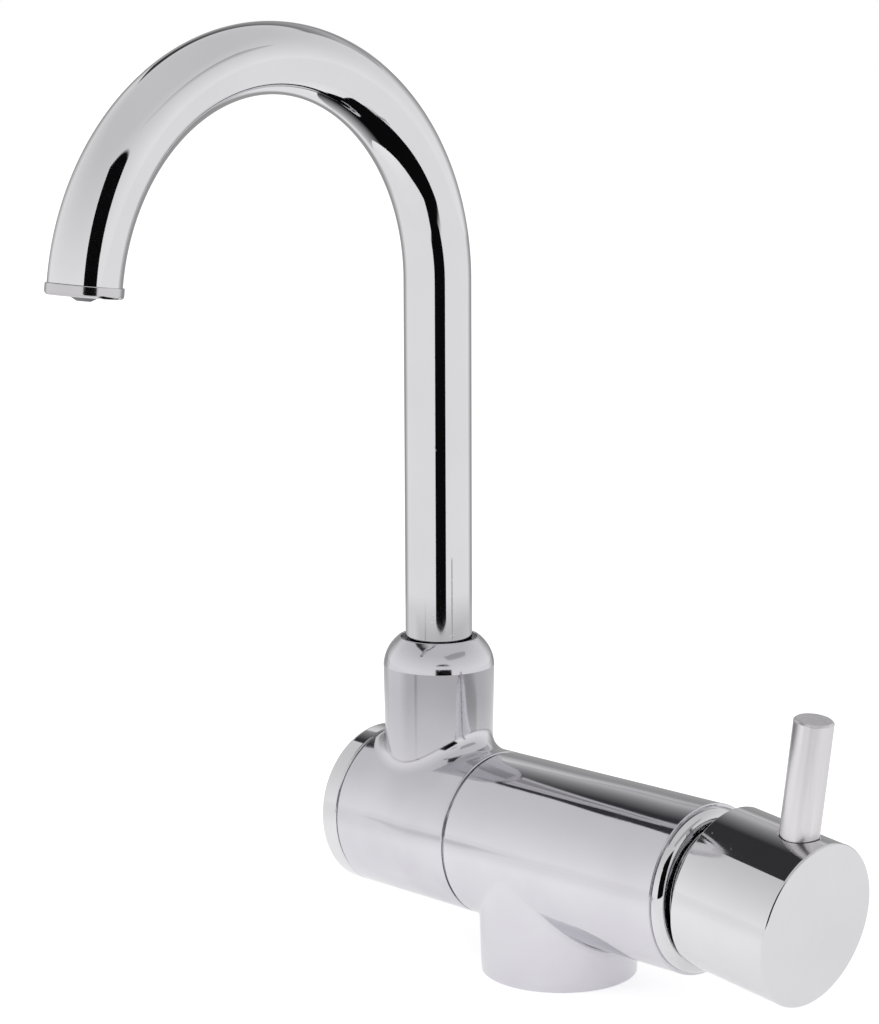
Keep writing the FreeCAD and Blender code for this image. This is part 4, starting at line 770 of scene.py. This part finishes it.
class Flow:
    """A Geometry Nodes tree whose nodes are written as calls. An input is named, or numbered as n0, n1."""

    def __init__(self, name, sizes):
        self.tree = bpy.data.node_groups.new(name, "GeometryNodeTree")
        self.tree.interface.new_socket("Geometry", in_out="OUTPUT", socket_type="NodeSocketGeometry")
        self.sockets = {}
        for label in sizes:
            socket = self.tree.interface.new_socket(label, in_out="INPUT", socket_type="NodeSocketFloat")
            self.sockets[label] = socket.identifier
        self.entry = self.tree.nodes.new("NodeGroupInput")
        self.exit = self.tree.nodes.new("NodeGroupOutput")

    def size(self, label):
        return self.entry.outputs[label]

    def node(self, kind, settings=None, **inputs):
        node = self.tree.nodes.new(kind)
        for key, value in (settings or {}).items():
            setattr(node, key, value)
        for label, value in inputs.items():
            numbered = label[0] == "n" and label[1:].isdigit()
            socket = node.inputs[int(label[1:]) if numbered else label]
            if isinstance(value, bpy.types.NodeSocket):
                self.tree.links.new(value, socket)
            else:
                socket.default_value = value
        return node

    def math(self, operation, first, second=0.0):
        return self.node("ShaderNodeMath", {"operation": operation}, n0=first, n1=second).outputs[0]

    def finish(self, geometry, material):
        real = self.node("GeometryNodeRealizeInstances", None, Geometry=geometry)
        painted = self.node("GeometryNodeSetMaterial", None, Geometry=real.outputs[0], Material=material)
        self.tree.links.new(painted.outputs[0], self.exit.inputs[0])


def baked(name, flow, sizes, *others):
    """Runs a tree with these sizes in metres, and keeps the result as a plain mesh."""
    piece = bpy.data.objects.new(name, bpy.data.meshes.new(name))
    bpy.context.scene.collection.objects.link(piece)
    modifier = piece.modifiers.new("flow", "NODES")
    modifier.node_group = flow.tree
    for label, value in sizes.items():
        modifier[flow.sockets[label]] = value
    for kind, settings in others:
        extra = piece.modifiers.new(kind, kind)
        for key, value in settings.items():
            setattr(extra, key, value)
    mesh = bpy.data.meshes.new_from_object(piece.evaluated_get(bpy.context.evaluated_depsgraph_get()))
    piece.modifiers.clear()
    piece.data = mesh
    return piece


tube_sizes = {
    "Side": TOWER_X * MM,
    "Foot": (AXIS_HEIGHT + TUBE_FOOT) * MM,
    "Leg": (ARCH_CENTRE - TUBE_FOOT) * MM,
    "Arch Radius": ARCH_RADIUS * MM,
    "Sweep": sweep,
    "Tube Radius": TUBE_RADIUS * MM,
}
swan = Flow("swan_neck", tube_sizes)
arch = swan.math("MULTIPLY", swan.size("Arch Radius"), swan.size("Sweep"))
whole = swan.math("ADD", swan.size("Leg"), arch)
end = swan.node("ShaderNodeCombineXYZ", None, Z=whole).outputs[0]
line = swan.node("GeometryNodeCurvePrimitiveLine", None, End=end).outputs[0]
points = swan.node("GeometryNodeResampleCurve", None, Curve=line, Count=PATH_POINTS).outputs[0]
start = swan.node("GeometryNodeInputPosition").outputs[0]
walked = swan.node("ShaderNodeSeparateXYZ", None, Vector=start).outputs[2]
straight = swan.math("MINIMUM", walked, swan.size("Leg"))
bent = swan.math("SUBTRACT", walked, straight)
angle = swan.math("DIVIDE", bent, swan.size("Arch Radius"))
shortfall = swan.math("SUBTRACT", swan.math("COSINE", angle), 1.0)
overhang = swan.math("MULTIPLY", shortfall, swan.size("Arch Radius"))
climb = swan.math("MULTIPLY", swan.math("SINE", angle), swan.size("Arch Radius"))
rise = swan.math("ADD", swan.math("ADD", swan.size("Foot"), straight), climb)
along = swan.node("ShaderNodeCombineXYZ", None, X=swan.size("Side"), Y=overhang, Z=rise).outputs[0]
path = swan.node("GeometryNodeSetPosition", None, Geometry=points, Position=along).outputs[0]
section = swan.node(
    "GeometryNodeCurvePrimitiveCircle", None, Resolution=SECTION_POINTS, Radius=swan.size("Tube Radius"),
).outputs[0]
wall = swan.node("GeometryNodeCurveToMesh", None, Curve=path, n1=section).outputs[0]
swan.finish(swan.node("GeometryNodeSetShadeSmooth", None, Geometry=wall).outputs[0], chrome)
tube = baked("spout_tube_chrome", swan, tube_sizes, ("SOLIDIFY", {"thickness": TUBE_WALL * MM, "offset": -1}))
tube.data.set_sharp_from_angle(angle=SHARP_ANGLE)
dress(tube, chrome, "spout", "polished_chrome", "spout_tube")

lip_inner = AERATOR_BORE_RADIUS - AERATOR_LIP
lip_top = AERATOR_LIP - BAND_HEIGHT
housing = turned("aerator_housing_chrome", [
    (AERATOR_START, AERATOR_BORE_RADIUS), (AERATOR_SLEEVE, AERATOR_BORE_RADIUS, FINE_ROUND),
    (AERATOR_SLEEVE, AERATOR_SLEEVE_RADIUS, FINE_ROUND), (0, AERATOR_SLEEVE_RADIUS, FINE_ROUND),
    (0, BAND_RADIUS, CREASE_ROUND), (-BAND_HEIGHT, BAND_RADIUS, BAND_ROUND),
    (-BAND_HEIGHT, lip_inner, AERATOR_LIP_ROUND), (lip_top, lip_inner, FINE_ROUND),
    (lip_top, AERATOR_BORE_RADIUS, FINE_ROUND), (AERATOR_START, AERATOR_BORE_RADIUS),
], "Z", to_outlet)
dress(housing, band_chrome, "spout", "aerator_chrome", "aerator_housing")


# Bezel ring, knob and pin

bezel_start = BARREL_RIGHT + BEZEL_START
bezel_ceiling = nut_end + BEZEL_NUT_PLAY
bezel_dome_end = BARREL_RIGHT + BEZEL_DOME
bezel = turned("bezel_ring_chrome", [
    (bezel_start, BEZEL_BORE_RADIUS), (bezel_ceiling, BEZEL_BORE_RADIUS, FINE_ROUND),
    (bezel_ceiling, BEZEL_MOUTH_RADIUS, BORE_ROUND), (bezel_end, BEZEL_MOUTH_RADIUS, BORE_ROUND),
    (bezel_end, BEZEL_NECK_RADIUS - BEZEL_NECK_TAPER, BEZEL_NECK_ROUND),
    (bezel_dome_end, BEZEL_NECK_RADIUS, CREASE_ROUND),
    *bulge((bezel_dome_end, BEZEL_NECK_RADIUS), (BARREL_RIGHT, BEZEL_RADIUS), BEZEL_DOME_RADIUS),
    (BARREL_RIGHT, BEZEL_RADIUS, BORE_ROUND), (BARREL_RIGHT, BEZEL_BORE_RADIUS, FINE_ROUND),
    (bezel_start, BEZEL_BORE_RADIUS),
], "X", to_barrel)
dress(bezel, chrome, "body", "polished_chrome", "bezel_ring")

skirt = KNOB_RIM + KNOB_SKIRT_DEPTH
cavity_end = KNOB_RIM + KNOB_CAVITY_DEPTH
knob = turned("handle_knob_chrome", [
    (KNOB_FACE, 0), (KNOB_FACE, KNOB_RADIUS, KNOB_EDGE_ROUND), (KNOB_RIM, KNOB_RADIUS, KNOB_RIM_ROUND),
    (KNOB_RIM, KNOB_SKIRT_RADIUS, KNOB_RIM_ROUND), (skirt, KNOB_SKIRT_RADIUS, KNOB_INNER_ROUND),
    (skirt, KNOB_CAVITY_RADIUS, KNOB_RIM_ROUND), (cavity_end, KNOB_CAVITY_RADIUS, KNOB_INNER_ROUND),
    (cavity_end, 0),
], "X", to_knob)
to_pin = to_knob @ Matrix.Translation((PIN_STATION, 0, 0))
recess_floor = KNOB_RADIUS - PIN_RECESS_DEPTH
knob_outside = KNOB_RADIUS + CUTTER_OVERRUN
pin_recess = turned("pin_recess", solid_bar(PIN_RECESS_RADIUS, recess_floor, knob_outside), "Z", to_pin)
to_grub = to_knob @ Matrix.Translation((GRUB_STATION, 0, 0))
grub_hole = turned("grub_hole", solid_bar(GRUB_RADIUS, -knob_outside, 0), "Z", to_grub)
drilled(knob, pin_recess, grub_hole)
dress(knob, chrome, "lever", "polished_chrome", "handle_knob")

pin_top = KNOB_RADIUS + PIN_HEIGHT
pin = turned("handle_pin_satin", [
    (pin_top, 0), (pin_top, PIN_RADIUS - PIN_CHAMFER, PIN_TOP_ROUND),
    (pin_top - PIN_CHAMFER, PIN_RADIUS, PIN_TOP_ROUND), (recess_floor, PIN_RADIUS, PIN_FOOT_ROUND),
    (recess_floor, 0),
], "Z", to_pin)
dress(pin, satin, "lever", "satin_steel", "handle_pin")


# Camera: to the right of the front and a little above the tap, with a long lens

CAMERA_PLACE = (504.34, -551.25, 258.19)
CAMERA_YAW = -0.7828
CAMERA_PITCH = -0.1797
CAMERA_ROLL = -0.004
SENSOR_WIDTH = 36
LENS = 103.66
NEAREST_SEEN = 0.01

camera_data = bpy.data.cameras.new("camera")
camera = bpy.data.objects.new("camera", camera_data)
bpy.context.scene.collection.objects.link(camera)
bpy.context.scene.camera = camera
forward = Vector((
    math.sin(CAMERA_YAW) * math.cos(CAMERA_PITCH),
    math.cos(CAMERA_YAW) * math.cos(CAMERA_PITCH),
    math.sin(CAMERA_PITCH),
))
level = Vector((math.cos(CAMERA_YAW), -math.sin(CAMERA_YAW), 0))
upright = level.cross(forward)
across = level * math.cos(CAMERA_ROLL) + upright * math.sin(CAMERA_ROLL)
above = upright * math.cos(CAMERA_ROLL) - level * math.sin(CAMERA_ROLL)
turn = Matrix((across, above, -forward)).transposed().to_4x4()
camera.matrix_world = Matrix.Translation(Vector(CAMERA_PLACE) * MM) @ turn
camera_data.sensor_width = SENSOR_WIDTH
camera_data.lens = LENS
camera_data.clip_start = NEAREST_SEEN
bpy.context.scene.view_settings.view_transform = "Standard"


# Studio: white room, pale floor, two soft lamps, and dark cards that the metal mirrors. The cards, and the
# shade and glow painted into the floor, are painted reflections seen only in the metal.

# Each ramp reads: from, to, value at from, value at to. Lengths in a ramp are in metres, and a slope is the
# length of a ray over its level reach from the tower.
FLOOR_REACH = 6000
FLOOR_LEVEL = -0.05
FLOOR_SHADE = 0.86
FLOOR_TO_EYE = 0.55
# The ramps below paint shade and glow into the floor for the metal only.
NEAR_FLOOR = (0.16, 0.26, 1, 0)
NEAR_GLOW = (0.09, 0.16, 0.44, 0.32)
DISTANT_FLOOR = (0.38, 0.46, 0, 1)
LEVEL_RAY = (0.948, 0.960, 1, 0)
STEEP_RAY = (1.0, 1.04, 0, 1)
LEFT_SIDE = (-0.7, -0.35, 0.6, 0)
BACK_AIM = (0.55, 0.85, 0, 0.62)
BACK_REACH = (0.26, 0.36, 0, 1)
RING_PAINTED_SHADE = 0.12
STRIPE_CENTRE = -0.035
STRIPE_WIDTH = (0.02, 0.06, 0.28, 0)
STRIPE_FRONT = (-0.1, 0.0, 1, 0)
WEDGE_REACH = (0.27, 0.38, 1, 0)
WEDGE_CENTRE = (0, 1, 0.14, 0.3)
WEDGE_HALF = (0, 1, 0.0, 0.4)
WEDGE_EDGE = (-0.06, 0.0, 0.36, 0)
BACK = Vector((forward.x, forward.y, 0)).normalized()


def flat_piece(name, corners, material):
    """A flat card through these corners, in millimetres."""
    mesh = bpy.data.meshes.new(name)
    mesh.from_pydata([Vector(corner) * MM for corner in corners], [], [list(range(len(corners)))])
    mesh.materials.append(material)
    card = bpy.data.objects.new(name, mesh)
    bpy.context.scene.collection.objects.link(card)
    return card


def product(tree, first, *others):
    """All of these numbers multiplied."""
    for other in others:
        first = figure(tree, "MULTIPLY", first, other)
    return first


def largest(tree, first, *others):
    """The largest of these numbers."""
    for other in others:
        first = figure(tree, "MAXIMUM", first, other)
    return first


def rest_of(tree, share):
    """What a share leaves of the whole."""
    return figure(tree, "SUBTRACT", 1.0, share)


def off_centre(tree, source, centre):
    """How far a number is from a centre, either way."""
    return figure(tree, "ABSOLUTE", figure(tree, "SUBTRACT", source, centre), 0.0)


def vector_figure(tree, operation, source, other=(0, 0, 0)):
    """A difference, product or length of a vector, with a fixed one as the second."""
    node = tree.nodes.new("ShaderNodeVectorMath")
    node.operation = operation
    node.inputs[1].default_value = other
    tree.links.new(source, node.inputs[0])
    return node.outputs["Value" if operation in ("DOT_PRODUCT", "LENGTH") else "Vector"]


def parts_of(tree, source):
    """The three parts of a vector."""
    apart = tree.nodes.new("ShaderNodeSeparateXYZ")
    tree.links.new(source, apart.inputs[0])
    return apart.outputs


def own_place(tree):
    """Where a point of the piece is, in its own space."""
    return tree.nodes.new("ShaderNodeTexCoord").outputs["Object"]


def ray_length(tree):
    """How far a mirrored ray has come."""
    return tree.nodes.new("ShaderNodeLightPath").outputs["Ray Length"]


def towards_back(tree, source):
    """How far a vector points to the back of the room."""
    return vector_figure(tree, "DOT_PRODUCT", source, BACK)


def level_reach(tree):
    """Level distance from the tower's axis, and the level way from there."""
    from_tower = vector_figure(tree, "SUBTRACT", own_place(tree), (TOWER_X * MM, 0, 0))
    away = vector_figure(tree, "MULTIPLY", from_tower, (1, 1, 0))
    return vector_figure(tree, "LENGTH", away), away


def slope_of(tree, reach):
    """How steep a ray runs that set out near the tower: its length over its level reach."""
    return figure(tree, "DIVIDE", ray_length(tree), reach)


def bare_paint(name):
    """A material without a shader, its nodes, and the socket that takes one."""
    paint = bpy.data.materials.new(name)
    paint.use_nodes = True
    tree = paint.node_tree
    tree.nodes.remove(tree.nodes["Principled BSDF"])
    return paint, tree, tree.nodes["Material Output"].inputs["Surface"]


def floor_paint():
    """Pale and plain to the eye. To the metal alone it shows painted reflections: a ring painted as a dark
    band with a darker stripe and wedge, a painted glow close to the tap, and painted shade behind the tower.
    """
    paint, tree, surface = bare_paint("floor_paint")
    rays = tree.nodes.new("ShaderNodeLightPath").outputs
    reach, away = level_reach(tree)
    away_parts = parts_of(tree, away)
    side = figure(tree, "DIVIDE", away_parts[0], reach)
    front = figure(tree, "DIVIDE", away_parts[1], reach)
    slope = slope_of(tree, reach)
    near = spread(tree, reach, *NEAR_FLOOR)
    open_floor = largest(
        tree, spread(tree, reach, *DISTANT_FLOOR), spread(tree, slope, *STEEP_RAY),
        spread(tree, side, *LEFT_SIDE), spread(tree, slope, *LEVEL_RAY),
    )
    far = product(tree, open_floor, rest_of(tree, near))
    # Painted shade for the metal: the ring is darkened, and darker still in a stripe and a wedge.
    ring = figure(tree, "SUBTRACT", rest_of(tree, near), far)
    stripe = spread(tree, off_centre(tree, side, STRIPE_CENTRE), *STRIPE_WIDTH)
    closer = spread(tree, reach, *WEDGE_REACH)
    from_middle = off_centre(tree, front, spread(tree, closer, *WEDGE_CENTRE))
    wedge_edge = figure(tree, "SUBTRACT", from_middle, spread(tree, closer, *WEDGE_HALF))
    in_front = spread(tree, front, *STRIPE_FRONT)
    painted_shade_marks = largest(tree, product(tree, stripe, in_front), spread(tree, wedge_edge, *WEDGE_EDGE))
    unlit = figure(tree, "ADD", far, product(tree, ring, figure(tree, "ADD", painted_shade_marks, RING_PAINTED_SHADE)))
    lit = tree.nodes.new("ShaderNodeBsdfDiffuse")
    lit_share = rest_of(tree, product(tree, unlit, rays["Is Glossy Ray"]))
    tree.links.new(product(tree, lit_share, FLOOR_SHADE), lit.inputs["Color"])
    # Painted shade behind the tower and a painted glow on the floor near the tap, both seen only in the
    # metal.
    aim = figure(tree, "DIVIDE", towards_back(tree, away), reach)
    behind = product(tree, spread(tree, aim, *BACK_AIM), spread(tree, reach, *BACK_REACH))
    mirrored = figure(tree, "ADD", product(tree, near, spread(tree, reach, *NEAR_GLOW)), far)
    for_metal = product(tree, mirrored, rest_of(tree, behind), rays["Is Glossy Ray"])
    for_eye = product(tree, rays["Is Camera Ray"], FLOOR_TO_EYE)
    glow = tree.nodes.new("ShaderNodeEmission")
    tree.links.new(figure(tree, "ADD", for_eye, for_metal), glow.inputs["Strength"])
    both = tree.nodes.new("ShaderNodeAddShader")
    tree.links.new(lit.outputs[0], both.inputs[0])
    tree.links.new(glow.outputs[0], both.inputs[1])
    tree.links.new(both.outputs[0], surface)
    return paint


floor = flat_piece("floor", [
    (-FLOOR_REACH, -FLOOR_REACH, FLOOR_LEVEL), (FLOOR_REACH, -FLOOR_REACH, FLOOR_LEVEL),
    (FLOOR_REACH, FLOOR_REACH, FLOOR_LEVEL), (-FLOOR_REACH, FLOOR_REACH, FLOOR_LEVEL),
], floor_paint())

# Cards: black sheets seen only in the metal, as painted dark reflections. Their shades, their places in
# millimetres, and the ramps that clear them
BLACK = 0.004
DARK = 0.04
TALL_LOW_LIMIT = (0.150, 0.155, 0.43, 0.375)
TALL_HIGH_LIMIT = (0.225, 0.235, 0, 0.045)
TALL_FADE = (0, 0.01, 0, 1)
ROOF_NEAR = (0.53, 0.57, 1, 0)
ROOF_BACK = (0.15, 0.6, 0, 0.65)
LOW_SHADE_LEVEL_RAY = (1.03, 1.06, 1, 0)
LOW_SHADE_LEFT = (-0.2, -0.07, 0.8, 0)
SIDE_NEAR = (0.58, 0.62, 1, 0)
SIDE_SLOPE = (1.2, 1.32, 1, 0.6)
LOW_SHADE_HEIGHT = 60
tall_outline = [(193, -333, 0), (343, -139, 0), (343, -139, 500), (193, -333, 500)]
roof_outline = [(-100, -355, 600), (-100, 900, 600), (-760, 900, 600), (-760, 218, 600)]
side_outline = [(330, -250, 600), (620, -250, 600), (620, 350, 600), (330, 350, 600)]
# A low card round the tap's foot: a painted dark reflection, seen only in the metal.
low_shade_outline = [
    (-200, -20), (-119, -36), (-21, -79), (31, -104), (98, -125), (154, -240), (369, -128), (294, -21),
    (122, -14), (60, -2), (41, 25), (-4, 20), (-40, 45), (-200, 60),
]


def card_paint(name, shade, hidden):
    """Dark paint for a painted dark reflection. hidden(tree) gives a number that is 1 where the card lets the
    room show through.
    """
    paint, tree, surface = bare_paint(name)
    black = tree.nodes.new("ShaderNodeEmission")
    black.inputs["Color"].default_value = (shade, shade, shade * 1.1, 1)
    clear = tree.nodes.new("ShaderNodeBsdfTransparent")
    mixed = tree.nodes.new("ShaderNodeMixShader")
    tree.links.new(hidden(tree), mixed.inputs[0])
    tree.links.new(black.outputs[0], mixed.inputs[1])
    tree.links.new(clear.outputs[0], mixed.inputs[2])
    tree.links.new(mixed.outputs[0], surface)
    return paint


def tall_hidden(tree):
    """Clear from afar, and from less far in its middle heights."""
    card_height = parts_of(tree, own_place(tree))[2]
    low = spread(tree, card_height, *TALL_LOW_LIMIT)
    limit = figure(tree, "ADD", low, spread(tree, card_height, *TALL_HIGH_LIMIT))
    return spread(tree, figure(tree, "SUBTRACT", ray_length(tree), limit), *TALL_FADE)


def roof_hidden(tree):
    """Clear from close by, and fading out towards the back of the room."""
    card_depth = parts_of(tree, own_place(tree))[1]
    return largest(tree, spread(tree, ray_length(tree), *ROOF_NEAR), spread(tree, card_depth, *ROOF_BACK))


def low_shade_hidden(tree):
    """Clear from behind and to rays that run almost level, and fading out to the left."""
    under = tree.nodes.new("ShaderNodeNewGeometry").outputs["Backfacing"]
    slope = slope_of(tree, level_reach(tree)[0])
    fade = spread(tree, parts_of(tree, own_place(tree))[0], *LOW_SHADE_LEFT)
    return largest(tree, under, fade, spread(tree, slope, *LOW_SHADE_LEVEL_RAY))


def side_hidden(tree):
    """Clear from close by and to rays that don't climb steeply, and thin elsewhere."""
    slope = slope_of(tree, level_reach(tree)[0])
    return largest(tree, spread(tree, ray_length(tree), *SIDE_NEAR), spread(tree, slope, *SIDE_SLOPE))


cards = [
    flat_piece("tall_card", tall_outline, card_paint("tall_card_paint", BLACK, tall_hidden)),
    flat_piece("roof_card", roof_outline, card_paint("roof_card_paint", DARK, roof_hidden)),
    flat_piece("side_card", side_outline, card_paint("side_card_paint", DARK, side_hidden)),
    flat_piece(
        "low_shade_card", [(x, y, LOW_SHADE_HEIGHT) for x, y in low_shade_outline],
        card_paint("low_shade_card_paint", BLACK, low_shade_hidden),
    ),
]
# The cards are seen only by the metal, as painted dark reflections.
for card in cards:
    card.visible_camera = False
    card.visible_diffuse = False
    card.visible_shadow = False
    card.visible_transmission = False

# Room: plain white to the eye, a little darker overhead and at the back where the metal mirrors it
ROOM_LIGHT = 0.72
OVERHEAD = (0.05, 0.8, 1.04, 0.74)
BACK_WALL = (0.6, 0.9, 0, 0.62)
BACK_WALL_TOP = (0.3, 0.5, 1, 0)

world = bpy.data.worlds.new("room")
bpy.context.scene.world = world
world.use_nodes = True
tree = world.node_tree
background = tree.nodes["Background"]
background.inputs["Color"].default_value = (1, 1, 1, 1)
rays = tree.nodes.new("ShaderNodeLightPath").outputs
ray = tree.nodes.new("ShaderNodeTexCoord").outputs["Generated"]
climb_of_ray = parts_of(tree, ray)[2]
back_wall = product(
    tree, spread(tree, towards_back(tree, ray), *BACK_WALL), spread(tree, climb_of_ray, *BACK_WALL_TOP),
)
room_shade = product(tree, spread(tree, climb_of_ray, *OVERHEAD), rest_of(tree, back_wall))
mirrored = product(tree, rays["Is Glossy Ray"], room_shade)
seen = largest(tree, rays["Is Camera Ray"], rays["Is Transmission Ray"])
light = product(tree, rest_of(tree, largest(tree, seen, rays["Is Glossy Ray"])), ROOM_LIGHT)
tree.links.new(largest(tree, seen, mirrored, light), background.inputs["Strength"])


def soft_lamp(name, place, aim, width, power):
    """A square lamp that lights the tap but isn't mirrored in it."""
    lamp = bpy.data.lights.new(name, "AREA")
    lamp.shape = "SQUARE"
    lamp.size = width
    lamp.energy = power
    holder = bpy.data.objects.new(name, lamp)
    bpy.context.scene.collection.objects.link(holder)
    away = Vector(place) - Vector(aim)
    holder.matrix_world = Matrix.Translation(place) @ away.to_track_quat("Z", "Y").to_matrix().to_4x4()
    holder.visible_glossy = False
    return holder


LAMP_AIM = (0, 0, 0.1)
key_lamp = soft_lamp("key_lamp", (-0.9, -1.3, 0.75), LAMP_AIM, 0.8, 2.4)
fill_lamp = soft_lamp("fill_lamp", (0.6, -0.8, 1.9), LAMP_AIM, 1.2, 4.0)
